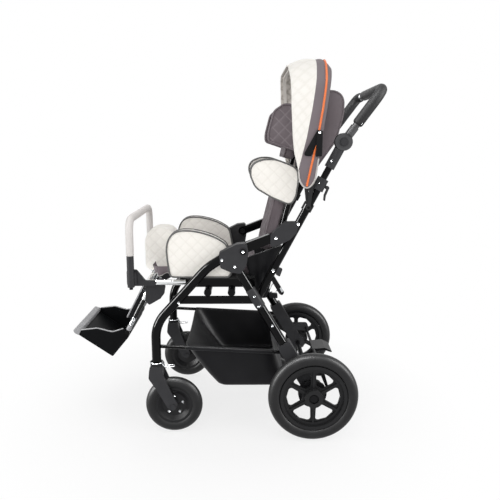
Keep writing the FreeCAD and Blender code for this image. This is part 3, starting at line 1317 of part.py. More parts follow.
def build():
    """Every node of the stroller, by name."""
    nodes = {}
    handed = {
        "front_leg": front_leg, "rear_leg": rear_leg, "caster_fork": caster_fork,
        "front_rim": front_rim, "front_tyre": front_tyre, "rear_rim": rear_rim, "rear_tyre": rear_tyre,
        "push_tube": push_tube, "clamp_lever": clamp_lever, "joint_button": joint_button,
    }
    for name, make in handed.items():
        right = make()
        nodes[name + "_right"] = right
        nodes[name + "_left"] = other_side(right)
    pairs = {
        "side_hubs": side_hub, "axle_brackets": axle_bracket, "seat_rails": seat_rail,
        "thigh_supports": thigh_support, "basket_rods": basket_rod, "arm_links": arm_link,
        "upper_connectors": upper_connector, "telescope_collars": telescope_collar,
        "canopy_clips": canopy_clip, "handle_posts": handle_post, "handle_joints": handle_joint,
        "handle_grips": handle_grip, "trunk_supports": trunk_support, "headrest_wings": headrest_wing,
        "front_brackets": front_bracket,
    }
    for name, make in pairs.items():
        nodes[name] = pair(make())
    single = {
        "rear_axle": rear_axle, "brake_bar": brake_bar, "frame_bolts": frame_bolts,
        "seat_base_tubes": seat_base_tubes, "seat_pan": seat_pan, "seat_slide_frame": seat_slide_frame,
        "seat_cushion": seat_cushion, "pommel": pommel, "basket": basket, "recline_axle": recline_axle,
        "handle_bar": handle_bar, "backrest_frame": backrest_frame, "back_cushion": back_cushion,
        "back_cover": back_cover, "headrest_pad": headrest_pad, "headrest_stem": headrest_stem,
        "canopy_front_rib": canopy_front_rib, "canopy_rear_rib": canopy_rear_rib,
        "canopy_hood": canopy_hood, "grab_bar": grab_bar, "grab_foam": grab_foam,
        "legrest_frame": legrest_frame, "calf_panel": calf_panel, "footrest_frame": footrest_frame,
        "footplate": footplate,
    }
    for name, make in single.items():
        nodes[name] = make()
    return nodes


def origin_shift(nodes):
    """Move that puts the middle of the box's underside at the origin."""
    box = Part.Compound(list(nodes.values())).optimalBoundingBox()
    return V(-box.Center.x, -box.Center.y, -box.ZMin)


def main():
    os.makedirs("parts", exist_ok=True)
    nodes = build()
    shift = origin_shift(nodes)
    for name, shape in nodes.items():
        shape.translate(shift)
        shape.exportStep("parts/" + name + ".step")
        print(name, "solids", len(shape.Solids), "valid", shape.isValid(), "volume", round(shape.Volume))
    print("nodes", len(nodes))
    print("shift", round(shift.x, 4), round(shift.y, 4), round(shift.z, 4))


if __name__ == "__main__":
    main()
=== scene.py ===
# %% [markdown]
# # Special needs stroller
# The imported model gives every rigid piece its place. This lesson dresses it: each finish is built from
# nodes, pads and cloths are sewn, some of them swelled as cloth, and the small fittings are modelled.

import json
import math

import bmesh
import bpy
from mathutils import Matrix, Vector, noise
from mathutils.kdtree import KDTree


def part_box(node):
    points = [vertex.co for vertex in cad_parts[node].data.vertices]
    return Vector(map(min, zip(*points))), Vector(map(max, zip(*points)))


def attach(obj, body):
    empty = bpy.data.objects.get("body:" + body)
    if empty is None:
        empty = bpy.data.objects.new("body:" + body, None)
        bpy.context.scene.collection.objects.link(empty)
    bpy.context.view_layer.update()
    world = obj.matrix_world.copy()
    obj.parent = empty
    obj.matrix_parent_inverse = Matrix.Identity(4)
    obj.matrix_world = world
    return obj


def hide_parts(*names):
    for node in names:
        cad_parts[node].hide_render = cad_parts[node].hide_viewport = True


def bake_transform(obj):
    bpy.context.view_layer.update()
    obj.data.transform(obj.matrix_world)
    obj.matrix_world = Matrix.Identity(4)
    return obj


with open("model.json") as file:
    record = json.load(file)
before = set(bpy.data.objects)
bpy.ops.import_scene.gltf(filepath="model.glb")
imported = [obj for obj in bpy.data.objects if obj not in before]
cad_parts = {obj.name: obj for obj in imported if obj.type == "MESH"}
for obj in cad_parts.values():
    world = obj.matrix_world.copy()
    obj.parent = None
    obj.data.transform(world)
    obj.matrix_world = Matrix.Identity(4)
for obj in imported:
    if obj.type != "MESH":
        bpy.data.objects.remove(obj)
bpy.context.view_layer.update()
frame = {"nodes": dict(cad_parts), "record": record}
nodes = frame["nodes"]

# %% [markdown]
# The drawings measure in millimetres from the rear axle on the floor line. One function turns
# such a place into the frame's metres, so that every value below is one that a maker would write.

# %% Places from the drawings
MM = 0.001
axle_low, axle_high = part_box("rear_tyre_left")
AXLE_X = (axle_low.x + axle_high.x) / 2
LEFT = -1
RIGHT = 1
SIDES = {"left": LEFT, "right": RIGHT}


def spot(x, y, z):
    """A place of the drawings, in the frame."""
    return Vector((AXLE_X + x * MM, y * MM, z * MM))


def leaned(x, z, lean, origin):
    """Side-view place of a point drawn upright on a part that leans back by some degrees."""
    turn = math.radians(lean)
    return (
        origin[0] + x * math.cos(turn) + z * math.sin(turn),
        origin[1] - x * math.sin(turn) + z * math.cos(turn),
    )


print("rear axle at x =", round(AXLE_X, 4))

# %% [markdown]
# Colours are written as the eye names them, in sRGB. Shaders count light, so one function turns
# a hex value to linear. A second one adds a node with its settings and its links.

# %% Colour and node helpers


def linear(code):
    channels = [int(code[i:i + 2], 16) / 255 for i in (1, 3, 5)]
    light = [c / 12.92 if c <= 0.04045 else ((c + 0.055) / 1.055) ** 2.4 for c in channels]
    return light + [1.0]


def add(tree, kind, values=None, links=None, **settings):
    node = tree.nodes.new(kind)
    for key, value in settings.items():
        setattr(node, key, value)
    for socket, value in (values or {}).items():
        node.inputs[socket].default_value = value
    for socket, source in (links or {}).items():
        tree.links.new(source, node.inputs[socket])
    return node


def new_finish(name, values):
    """A material with its shader's fixed values; gives the tree, the shader and the place on the piece."""
    material = bpy.data.materials.new(name)
    material.use_nodes = True
    tree = material.node_tree
    shader = tree.nodes["Principled BSDF"]
    for socket, value in values.items():
        shader.inputs[socket].default_value = value
    place = add(tree, "ShaderNodeTexCoord").outputs["Object"]
    return material, tree, shader, place


def grains(size_mm):
    """Noise scale whose blotches are about this many millimetres across."""
    return 1.0 / (size_mm * MM)


print("mid gray is", round(linear("#808080")[0], 3), "of white light")

# %% [markdown]
# Most rigid finishes share one build: a cloudy colour between two close tones, a roughness that
# wanders a little, and a bump for the grain that the mould or the coating left. A picture of the surface
# could be wrapped round each piece instead, but noise needs no unwrapping and shows no joins.

# %% Grained finishes
GRAIN_BUMP = 0.6


def grained(name, dark, light, cloud_mm, rough, grain_mm, bump_mm, gloss=0.5, metallic=0.0):
    material, tree, shader, place = new_finish(name, {"Specular IOR Level": gloss, "Metallic": metallic})
    cloud = add(tree, "ShaderNodeTexNoise", {"Scale": grains(cloud_mm), "Detail": 4.0}, {"Vector": place})
    share = cloud.outputs["Fac"]
    tones = {"A": linear(dark), "B": linear(light)}
    tone = add(tree, "ShaderNodeMix", tones, {"Factor": share}, data_type="RGBA")
    tree.links.new(tone.outputs[2], shader.inputs["Base Color"])
    wander = add(tree, "ShaderNodeMapRange", {"To Min": rough[0], "To Max": rough[1]}, {"Value": share})
    tree.links.new(wander.outputs["Result"], shader.inputs["Roughness"])
    grain = add(tree, "ShaderNodeTexNoise", {"Scale": grains(grain_mm), "Detail": 2.0}, {"Vector": place})
    depth = {"Strength": GRAIN_BUMP, "Distance": bump_mm * MM}
    bump = add(tree, "ShaderNodeBump", depth, {"Height": grain.outputs["Fac"]})
    tree.links.new(bump.outputs["Normal"], shader.inputs["Normal"])
    return material


# Powder coat: a gloss black skin with the slight orange peel of baked enamel
black_enamel = grained("black_powder_coat", "#050506", "#09090a", 40, (0.09, 0.14), 2.5, 0.01, gloss=0.12)
# Fine spark-eroded grain of a dark gray nylon moulding
moulded_gray = grained("moulded_nylon_gray", "#303032", "#3a3a3c", 25, (0.46, 0.58), 1.6, 0.08, gloss=0.08)
# Bright nickel-chrome plate, a mirror with faint polishing haze
chrome = grained("chrome_plate", "#d8dadc", "#eceded", 30, (0.08, 0.18), 3.0, 0.01, metallic=1.0)
# Zinc plated steel, grayer and softer than chrome
zinc = grained("zinc_plated_steel", "#b4b6b8", "#cfd1d3", 12, (0.24, 0.36), 1.5, 0.03, metallic=1.0)
# Blackened steel of bolts, shafts and thin plates
black_steel = grained("blackened_steel", "#0c0c0e", "#151517", 14, (0.30, 0.42), 1.5, 0.03, gloss=0.12)
# Tyre rubber, dark with a dull shine
tyre_rubber = grained("tyre_rubber", "#161617", "#212122", 30, (0.38, 0.50), 2.0, 0.06, gloss=0.22)
# Glass-filled nylon wheel, faintly mottled by its fibres
wheel_nylon = grained("glass_filled_nylon", "#131314", "#1c1c1e", 9, (0.38, 0.50), 1.8, 0.06, gloss=0.2)
# Grained polypropylene of the foot box
foot_moulding = grained(
    "grained_polypropylene", "#060708", "#0d0e10", 22, (0.42, 0.54), 2.2, 0.06, gloss=0.05,
)
# Pale gray soft edge trim
pale_trim = grained("pale_gray_vinyl", "#868688", "#9a9a9c", 18, (0.52, 0.66), 2.0, 0.08)
# Closed-cell foam: light warm gray on the grab bar, black on the handle, with its fine pores
pale_foam = grained("closed_cell_foam_pale", "#cbc6c3", "#dad6d3", 10, (0.80, 0.92), 2.2, 0.06)
black_foam = grained("closed_cell_foam_black", "#1b1b1c", "#28282a", 8, (0.56, 0.68), 2.2, 0.02, gloss=0.15)
# Black film-faced plywood under the cushion
film_board = grained("film_faced_plywood", "#121213", "#1c1c1d", 35, (0.45, 0.60), 3.0, 0.05, gloss=0.2)
print("grained finishes done")

# %% [markdown]
# Cloth is yarn: crossing sets of ridges, one along each axis, a soft sheen at grazing angles and a slightly
# uneven dye. A real thread is under half a millimetre, too fine to show, so it is drawn at a few
# millimetres. Waves on the piece's own coordinates need no unwrapping. Where a piece is quilted, an attribute
# of its own marks the quilt lines and gives them a tone: darker on the pale cloths as painted shade of the
# sewn dimples, lighter on the taupe.

# %% Woven finishes
DYE_CLOUD_MM = 60
WEAVE_BUMP = 0.35
CLOTH_GLOSS = 0.12


def woven(name, dark, light, thread_mm, rough, weave_mm, sheen, line_tone_and_shade=None):
    fixed = {
        "Roughness": rough, "Sheen Weight": sheen, "Sheen Roughness": 0.5, "Specular IOR Level": CLOTH_GLOSS,
    }
    material, tree, shader, place = new_finish(name, fixed)
    cloud = add(tree, "ShaderNodeTexNoise", {"Scale": grains(DYE_CLOUD_MM), "Detail": 5.0}, {"Vector": place})
    tones = {"A": linear(dark), "B": linear(light)}
    tone = add(tree, "ShaderNodeMix", tones, {"Factor": cloud.outputs["Fac"]}, data_type="RGBA")
    colour = tone.outputs[2]
    turns = 2 * math.pi / (20 * thread_mm * MM)
    ridges = []
    for axis in ("X", "Y", "Z"):
        wave = add(
            tree, "ShaderNodeTexWave", {"Scale": turns, "Distortion": 0.6, "Detail": 1.0},
            {"Vector": place}, bands_direction=axis,
        )
        ridges.append(wave.outputs["Fac"])
    height = ridges[0]
    for ridge in ridges[1:]:
        height = add(tree, "ShaderNodeMath", None, {0: height, 1: ridge}, operation="ADD").outputs[0]
    # Along the quilt lines the colour turns to the given tone: painted shade on the pale cloths, lighter on
    # the taupe
    if line_tone_and_shade:
        line = add(tree, "ShaderNodeAttribute", attribute_name="line_tone_and_shade").outputs["Fac"]
        seams = {"A": colour, "Factor": line}
        colour = add(tree, "ShaderNodeMix", {"B": linear(line_tone_and_shade)}, seams, data_type="RGBA").outputs[2]
    tree.links.new(colour, shader.inputs["Base Color"])
    depth = {"Strength": WEAVE_BUMP, "Distance": weave_mm * MM}
    bump = add(tree, "ShaderNodeBump", depth, {"Height": height})
    tree.links.new(bump.outputs["Normal"], shader.inputs["Normal"])
    return material


# Ivory quilted cover, matt cotton mix; its quilt lines are painted a little darker, as shade in their dimples
cream_quilt = woven("ivory_quilted_cotton", "#eeeae3", "#f6f3ed", 2.6, 0.82, 0.10, 0.1, line_tone_and_shade="#eae6df")
# The ivory front band of the canopy; its quilting is only painted, the lines barely darker than the cloth as
# their shade
cream_cloth = woven("ivory_fine_quilt", "#ebe8e2", "#f3f0eb", 2.6, 0.80, 0.10, 0.1, line_tone_and_shade="#e7e4dd")
# Quilted lining inside the canopy: a grayish cream, drawn grayer partly as painted shade of the hood's inside,
# its quilt lines painted darker as their shade
lining = woven("grayish_cream_lining_with_painted_shade", "#cfc9c3", "#dcd7d1", 2.6, 0.85, 0.10, 0.1, line_tone_and_shade="#a8a29b")
# Dark taupe-gray polyester: quilted on cushions and head wings, plain on canopy and pouch
gray_quilt = woven("taupe_gray_quilt", "#655c60", "#72696d", 2.4, 0.78, 0.12, 0.1, line_tone_and_shade="#857c80")
gray_cloth = woven("taupe_gray_polyester", "#6b6266", "#786f73", 2.4, 0.78, 0.12, 0.1)
# Black coated nylon of the basket and the calf panel, with a dull plastic sheen
black_nylon = woven("coated_black_nylon", "#0d0d0f", "#17171a", 2.4, 0.46, 0.08, 0.05)
# Corded edging: mid gray on the pads, pale on the canopy's feet and the skirts, orange on the rear rib
gray_cord = woven("gray_edge_piping", "#5a5a5a", "#696967", 2.0, 0.70, 0.10, 0.1)
pale_cord = woven("pale_edge_piping", "#b3afac", "#c3c0bd", 2.0, 0.70, 0.10, 0.1)
orange_cord = woven("orange_edge_piping", "#e4692a", "#f08348", 2.0, 0.62, 0.10, 0.1)
print("woven finishes done")

# %% [markdown]
# Some tubes change their finish half way: the handle bar is bright only between its foam sleeves, the leg
# hangers are bright above their joint, and the canopy ribs vanish into sewn sleeves. The mesh could be cut
# there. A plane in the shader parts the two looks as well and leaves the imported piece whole.

# %% Finishes parted by a plane
BRIGHT = ("#dcdee0", 1.0, 0.14)
GRAY_ARM = ("#38383a", 0.0, 0.5)
BLACK_TUBE = ("#0b0b0c", 0.0, 0.2)
BARE_STEEL = ("#0f0f10", 0.0, 0.4)
# The lining sleeve takes the lining's grayer tone, which is partly painted shade
LINING_SLEEVE = ("#d5d0ca", 0.0, 0.85)
TAUPE_SLEEVE = ("#696065", 0.0, 0.8)
ACROSS = (0, 1, 0)
UP = (0, 0, 1)
LEG_PIVOT = (-535.0, 470.0)
LEG_LEAN = 27.6
LEG_BRIGHT = 46.0
BARE_FROM = 84.0
BARE_TO = 146.0
UNDER_FOAM = 4.0
SLEEVE_Z = 826.0


def parted(name, origin, axis, edge_mm, near, far, both_ways=False):
    """Two looks on one piece, each a (colour, metallic, roughness), parted some way along an axis."""
    material, tree, shader, place = new_finish(name, {"Specular IOR Level": 0.3})
    away = add(tree, "ShaderNodeVectorMath", {1: origin}, {0: place}, operation="SUBTRACT")
    dot = add(tree, "ShaderNodeVectorMath", {1: axis}, {0: away.outputs[0]}, operation="DOT_PRODUCT")
    along = dot.outputs["Value"]
    if both_ways:
        along = add(tree, "ShaderNodeMath", None, {0: along}, operation="ABSOLUTE").outputs[0]
    beyond = add(tree, "ShaderNodeMath", {1: edge_mm * MM}, {0: along}, operation="GREATER_THAN").outputs[0]
    tones = {"A": linear(near[0]), "B": linear(far[0])}
    tone = add(tree, "ShaderNodeMix", tones, {"Factor": beyond}, data_type="RGBA")
    tree.links.new(tone.outputs[2], shader.inputs["Base Color"])
    for socket, low, high in (("Metallic", near[1], far[1]), ("Roughness", near[2], far[2])):
        share = add(tree, "ShaderNodeMapRange", {"To Min": low, "To Max": high}, {"Value": beyond})
        tree.links.new(share.outputs["Result"], shader.inputs[socket])
    return material


# Polished tube in the gap between the grips, gray moulded arms beside it
bar_middle = (0, (BARE_FROM + BARE_TO) / 2 * MM, 0)
bar_reach = (BARE_TO - BARE_FROM) / 2 + UNDER_FOAM
bar_finish = parted("bar_chrome_and_gray", bar_middle, ACROSS, bar_reach, BRIGHT, GRAY_ARM, both_ways=True)
# Plated upper hangers, black coated tube below the leg joint
leg_down = (-math.sin(math.radians(LEG_LEAN)), 0.0, -math.cos(math.radians(LEG_LEAN)))
leg_top = spot(LEG_PIVOT[0], 0, LEG_PIVOT[1])
hanger_finish = parted("hanger_chrome_and_black", leg_top, leg_down, LEG_BRIGHT, BRIGHT, BLACK_TUBE)
# Canopy ribs: black at the foot, then inside a sewn sleeve of the cloth that they carry
sleeve_from = spot(0, 0, SLEEVE_Z)
front_rib_finish = parted("rib_steel_and_lining", sleeve_from, UP, 0.0, BARE_STEEL, LINING_SLEEVE)
rear_rib_finish = parted("rib_steel_and_taupe", sleeve_from, UP, 0.0, BARE_STEEL, TAUPE_SLEEVE)
print("parted finishes done")

# %% [markdown]
# The record already says which finish each rigid piece takes, by slot. The handle bar, the leg hangers,
# the canopy ribs and a few steel pieces differ from their slot's common look.

# %% Paint the rigid pieces
FINISH_OF_SLOT = {
    "frame_black": black_enamel, "moulded_gray": moulded_gray, "chrome_tube": chrome, "bright_steel": zinc,
    "tyre_rubber": tyre_rubber, "wheel_plastic": wheel_nylon, "foot_plastic": foot_moulding,
    "plywood": film_board, "cream_quilt": cream_quilt, "gray_fabric": gray_cloth, "basket_cloth": black_nylon,
    "gray_foam": pale_foam, "black_foam": black_foam,
}
OWN_FINISH = {
    "basket_rods": black_enamel, "handle_posts": black_enamel, "headrest_stem": black_enamel,
    "footrest_frame": black_enamel, "brake_bar": black_steel, "frame_bolts": black_steel,
    "rear_axle": black_steel, "canopy_front_rib": front_rib_finish, "canopy_rear_rib": rear_rib_finish,
    "handle_bar": bar_finish, "legrest_frame": hanger_finish,
}


def paint(piece, finish):
    piece.data.materials.clear()
    piece.data.materials.append(finish)


for entry in frame["record"]["subparts"]:
    name = entry["node"]
    paint(nodes[name], OWN_FINISH.get(name, FINISH_OF_SLOT[entry["material_slot"]]))

# %% [markdown]
# A new piece is drawn as a bmesh. Closing it merges doubles, turns every face outwards, smooths
# the shading and hangs it on the body that carries it.

# %% Turning a bmesh into a piece


def bake(piece):
    """Fix a piece's modifiers into its mesh."""
    graph = bpy.context.evaluated_depsgraph_get()
    baked = bpy.data.meshes.new_from_object(piece.evaluated_get(graph))
    piece.modifiers.clear()
    piece.data = baked
    return piece


def as_object(name, shape, finish):
    mesh = bpy.data.meshes.new(name)
    shape.to_mesh(mesh)
    shape.free()
    mesh.materials.append(finish)
    piece = bpy.data.objects.new(name, mesh)
    bpy.context.scene.collection.objects.link(piece)
    return piece


def tidy(shape, merge_mm=0.02):
    bmesh.ops.remove_doubles(shape, verts=shape.verts[:], dist=merge_mm * MM)
    bmesh.ops.recalc_face_normals(shape, faces=shape.faces[:])


def add_wall(piece, wall_mm, offset=0.0):
    """A modifier that gives cloth its thickness."""
    wall = piece.modifiers.new("wall", "SOLIDIFY")
    wall.thickness = wall_mm * MM
    wall.offset = offset
    return wall


def add_finer(piece):
    """A modifier that halves the cells and rounds them."""
    finer = piece.modifiers.new("finer", "SUBSURF")
    finer.levels = 1
    finer.render_levels = 1


def settle(piece, body, smooth_angle=None):
    for face in piece.data.polygons:
        face.use_smooth = True
    if smooth_angle:
        piece.data.set_sharp_from_angle(angle=math.radians(smooth_angle))
    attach(piece, body)
    print(piece.name, "rides on", body)
    return piece


def mirrored(piece, name):
    """The other side's copy, its faces turned back outwards."""
    shape = bmesh.new()
    shape.from_mesh(piece.data)
    bmesh.ops.scale(shape, vec=(1, -1, 1), verts=shape.verts[:])
    bmesh.ops.reverse_faces(shape, faces=shape.faces[:])
    return as_object(name, shape, piece.data.materials[0])


# %% [markdown]
# Piping, wire levers and foam sleeves are all a round section run along a line. A curve with a
# bevel does that and turns with the line by itself. Its ends can taper, so that foam looks cut and worn.

# %% Round sections along a line
TAPER = (0.80, 0.93, 0.985)


def rounded_route(corners, bend, steps=8):
    """A run of points with its inner corners rounded to a bend radius, in the frame's metres."""
    route = [corners[0]]
    for before, corner, after in zip(corners, corners[1:], corners[2:]):
        toward = (before - corner).normalized()
        away = (after - corner).normalized()
        reach = bend * MM / math.tan(toward.angle(away) / 2)
        reach = min(reach, 0.49 * (before - corner).length, 0.49 * (after - corner).length)
        start = corner + toward * reach
        end = corner + away * reach
        for i in range(steps + 1):
            t = i / steps
            route.append(start * (1 - t) ** 2 + corner * 2 * t * (1 - t) + end * t ** 2)
    return route + [corners[-1]]


def round_run(name, routes, radius, finish, closed=False, tapered=False, sides=5):
    """Mesh tube along each route; radius in millimetres."""
    curve = bpy.data.curves.new(name, "CURVE")
    curve.dimensions = "3D"
    curve.bevel_depth = radius * MM
    curve.bevel_resolution = sides
    curve.use_fill_caps = not closed
    for route in routes:
        line = list(route)
        swell = [1.0] * len(line)
        if tapered:
            first = (line[1] - line[0]).normalized()
            last = (line[-2] - line[-1]).normalized()
            step = radius * MM / 6
            head = [line[0] + first * step * i for i in range(len(TAPER))]
            tail = [line[-1] + last * step * i for i in reversed(range(len(TAPER)))]
            line = head + line[1:-1] + tail
            swell = list(TAPER) + [1.0] * (len(line) - 2 * len(TAPER)) + list(reversed(TAPER))
        spline = curve.splines.new("POLY")
        spline.points.add(len(line) - 1)
        for point, place, size in zip(spline.points, line, swell):
            point.co = (*place, 1.0)
            point.radius = size
        spline.use_cyclic_u = closed
    drawn = bpy.data.objects.new(name + "_line", curve)
    bpy.context.scene.collection.objects.link(drawn)
    graph = bpy.context.evaluated_depsgraph_get()
    mesh = bpy.data.meshes.new_from_object(drawn.evaluated_get(graph))
    bpy.data.objects.remove(drawn)
    shape = bmesh.new()
    shape.from_mesh(mesh)
    tidy(shape)
    return as_object(name, shape, finish)


def run_piece(name, routes, radius, finish, body, slot, **shape):
    return settle(round_run(name, routes, radius, finish, **shape), body)


# %% [markdown]
# A sewn pad is two shaped panels and a gusset, filled with foam. The panel's outline is drawn,
# its corners rounded, and pushed through the thickness. A voxel remesh gives it even cloth, the
# seams are pinned, and cloth pressure swells the panels between them. A cap keeps the swelling to
# what the foam allows. The large flat cushions swell by a plain rule instead, which costs less time.
# Quilting comes last, because the remesh would erase it.

# %% Sewing a pad
VOXEL_MM = 5.2
PRESSURE = 7.0
FRAMES = 6
QUILT_MM = 28.0
QUILT_DEEP_MM = 2.0
STITCH_MM = 1.5
SWELL_EASE_MM = 18
QUILT_CLEAR_MM = 9
FACING_FROM = 0.35
FACING_SPAN = 0.4


def panel(outline, corner):
    shape = bmesh.new()
    shape.faces.new([shape.verts.new((u, v, 0.0)) for u, v in outline])
    bmesh.ops.bevel(
        shape, geom=shape.verts[:], offset=corner, offset_type="OFFSET", segments=5,
        profile=0.5, affect="VERTICES", material=-1, clamp_overlap=True,
    )
    shape.normal_update()
    return shape


def seam_tree(seams):
    points = []
    for loop in seams:
        for a, b in zip(loop, loop[1:] + loop[:1]):
            count = max(1, int((b - a).length / (2 * MM)))
            points += [a.lerp(b, i / count) for i in range(count)]
    tree = KDTree(len(points))
    for i, point in enumerate(points):
        tree.insert(point, i)
    tree.balance()
    return tree


# %% [markdown]
# Filling pushes cloth out most where it is far from a seam. The cloth solver does that by pressure. The plain
# rule copies it with a curve that climbs away from the seam and levels off.

# %% Swelling the panels


def swell_cloth(piece, seams, cap_mm, blown):
    """Blow a closed cloth shell up by pressure or by rule, its seams held and its movement capped."""
    tree = seam_tree(seams)
    rest = [v.co.copy() for v in piece.data.vertices]
    reach = [tree.find(place)[2] for place in rest]
    if not blown:
        ease = SWELL_EASE_MM * MM
        out = [v.normal.copy() for v in piece.data.vertices]
        moved = [p + n * cap_mm * MM * (1 - math.exp(-d / ease)) for p, n, d in zip(rest, out, reach)]
    else:
        held = piece.vertex_groups.new(name="seam")
        held.add([i for i, d in enumerate(reach) if d < 0.8 * VOXEL_MM * MM], 1.0, "REPLACE")
        cloth = piece.modifiers.new("fill", "CLOTH")
        cloth.settings.quality = 3
        cloth.settings.use_pressure = True
        cloth.settings.uniform_pressure_force = PRESSURE
        cloth.settings.effector_weights.gravity = 0.0
        cloth.settings.vertex_group_mass = held.name
        cloth.point_cache.frame_start = 1
        cloth.point_cache.frame_end = FRAMES
        for step in range(1, FRAMES + 1):
            bpy.context.scene.frame_set(step)
        graph = bpy.context.evaluated_depsgraph_get()
        filled = piece.evaluated_get(graph).to_mesh()
        moved = [v.co.copy() for v in filled.vertices]
        piece.evaluated_get(graph).to_mesh_clear()
        piece.modifiers.clear()
        piece.vertex_groups.clear()
        bpy.context.scene.frame_set(1)
    for vertex, before, after in zip(piece.data.vertices, rest, moved):
        step = after - before
        if step.length > cap_mm * MM:
            step *= cap_mm * MM / step.length
        vertex.co = before + step
    most = max((after - before).length for before, after in zip(rest, moved))
    print(piece.name, "swells by up to", round(min(most / MM, cap_mm), 1), "mm")


# %% [markdown]
# Quilting sews cover and foam together in diamonds. A bump could draw the lines, but pressed into the mesh
# they are real shape, and the same distance to the nearest line also sets their colour: painted shade on the
# pale cloths, a lighter tone on the taupe.

# %% Quilting


def quilt(piece, place, seams, pitch_mm, deep_mm):
    """Press diamond quilting lines into the faces across the pad's thickness."""
    tree = seam_tree(seams)
    back = place.inverted()
    across = (place.to_3x3() @ Vector((0, 0, 1))).normalized()
    line = piece.data.attributes.new("line_tone_and_shade", "FLOAT", "POINT")
    pressed = []
    for i, vertex in enumerate(piece.data.vertices):
        local = back @ vertex.co
        facing = max(0.0, (abs(vertex.normal.dot(across)) - FACING_FROM) / FACING_SPAN)
        near = min(1.0, tree.find(vertex.co)[2] / (QUILT_CLEAR_MM * MM))
        share = min(1.0, facing) * near
        gaps = []
        for slant in (local.x + local.y, local.x - local.y):
            turn = slant / math.sqrt(2) / pitch_mm
            gaps.append(abs(turn - round(turn)) * pitch_mm)
        gap = min(gaps)
        crown = math.sqrt(1 - (1 - min(1.0, 2 * gap / pitch_mm)) ** 2)
        pressed.append(vertex.co - vertex.normal * deep_mm * MM * (1 - crown) * share)
        # The line share also sets the line colour, painted shade on the pale cloths
        line.data[i].value = math.exp(-(gap / STITCH_MM) ** 2) * share
    for vertex, co in zip(piece.data.vertices, pressed):
        vertex.co = co


# %% [markdown]
# The steps make one pad in this order: panel, gusset, even cells, swelling, finer cells and quilting.

# %% The whole pad


def sewn_pad(
    name, outline, corner, thick, place, finish, cap_mm, pitch_mm=QUILT_MM, deep_mm=QUILT_DEEP_MM, blown=True,
):
    """A filled pad and the two seam loops its piping follows."""
    shape = panel(outline, corner)
    rim = [loop.vert.co.copy() for loop in shape.faces[:][0].loops]
    pushed = bmesh.ops.extrude_face_region(shape, geom=shape.faces[:])
    top = [item for item in pushed["geom"] if isinstance(item, bmesh.types.BMVert)]
    bmesh.ops.translate(shape, vec=(0, 0, thick), verts=top)
    bmesh.ops.transform(shape, matrix=place, verts=shape.verts[:])
    tidy(shape)
    seams = [[place @ Vector((p.x, p.y, w)) for p in rim] for w in (0.0, thick)]
    piece = as_object(name, shape, finish)
    cells = piece.modifiers.new("cells", "REMESH")
    cells.mode = "VOXEL"
    cells.voxel_size = VOXEL_MM * MM
    bake(piece)
    swell_cloth(piece, seams, cap_mm, blown)
    add_finer(piece)
    bake(piece)
    if pitch_mm:
        quilt(piece, place, seams, pitch_mm, deep_mm)
    print(name, "faces", len(piece.data.polygons))
    return piece, seams


def side_place(anchor, y):
    """Outline drawn in the side view, thickness towards +Y, at a distance across."""
    origin = spot(anchor[0], y, anchor[1])
    return Matrix((
        (MM, 0, 0, origin.x), (0, 0, MM, origin.y), (0, MM, 0, origin.z), (0, 0, 0, 1),
    ))


# %% [markdown]
# The thigh supports stand on the seat board at both sides. The near one is the brightest form of the
# picture: ivory, diamond-quilted, with dark piping round both panels. One side is sewn and then mirrored,
# because both are cut alike.

# %% Thigh supports
PIPE_R = 2.6
THIGH_OUTLINE = (
    (-131, 2), (-139, 55), (-142, 98), (-135, 126), (-120, 146), (-95, 155),
    (-56, 154), (-16, 145), (18, 132), (53, 110), (69, 30), (64, 2),
)
THIGH_ANCHOR = (-330.0, 512.7)


def side_pads(stem, outline, corner, anchor, y_in, y_out, finish, cord, cap, body, node):
    """Left and right pads with piping on both seams."""
    place = side_place(anchor, y_in)
    pad, seams = sewn_pad(stem + "_right", outline, corner, y_out - y_in, place, finish, cap)
    edge = round_run(stem + "_piping_right", seams, PIPE_R, cord, closed=True)
    for piece, mate in ((pad, stem + "_left"), (edge, stem + "_piping_left")):
        twin = mirrored(piece, mate)
        for item in (piece, twin):
            settle(item, body)
            if piece is pad:
                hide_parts(node)


side_pads(
    "thigh_pad", THIGH_OUTLINE, 14, THIGH_ANCHOR, 155.0, 191.0, cream_quilt, gray_cord, 6.0,
    "chassis", "thigh_supports",
)

# %% [markdown]
# Trunk supports hold the ribs, head wings the temples. They are sewn like the thigh supports; the wings
# are in the taupe cloth. One function serves all three.

# %% Trunk supports and head wings
TRUNK_OUTLINE = (
    (-98, 14), (-89, 44), (-57, 58), (-18, 59), (20, 46), (54, 30),
    (58, -10), (50, -65), (32, -86), (-26, -62), (-79, -31),
)
WING_OUTLINE = ((-52, -4), (-53, 22), (-35, 92), (-2, 114), (42, 108), (38, -34))
side_pads(
    "trunk_pad", TRUNK_OUTLINE, 14, (-106.0, 834.0), 144.0, 172.0, cream_quilt, gray_cord, 6.0,
    "backrest", "trunk_supports",
)
side_pads(
    "head_wing", WING_OUTLINE, 9, (-90.0, 953.0), 100.5, 127.0, gray_quilt, gray_cloth, 6.0,
    "headrest", "headrest_wings",
)

# %% [markdown]
# The pommel keeps the knees apart: a quilted barrel on the sliding seat frame. A lathe shape would look hard,
# so it is sewn and swelled as the side pads are.

# %% Pommel
POMMEL_OUTLINE = ((-57, 2), (-57, 117), (-34, 149), (34, 149), (57, 111), (57, 2))
POMMEL_ANCHOR = (-508.0, 506.5)
POMMEL_THICK = 104.0
pommel_place = side_place(POMMEL_ANCHOR, -POMMEL_THICK / 2)
pommel, _ = sewn_pad("pommel_pad", POMMEL_OUTLINE, 22, POMMEL_THICK, pommel_place, cream_quilt, 8.0)
settle(pommel, "seat_front")
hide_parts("pommel")

# %% [markdown]
# Seat, back and head cushions face the child. Their outline is drawn across and along the part, and
# the thickness goes towards the child. They are broad and lie partly hidden, so the plain rule swells them.

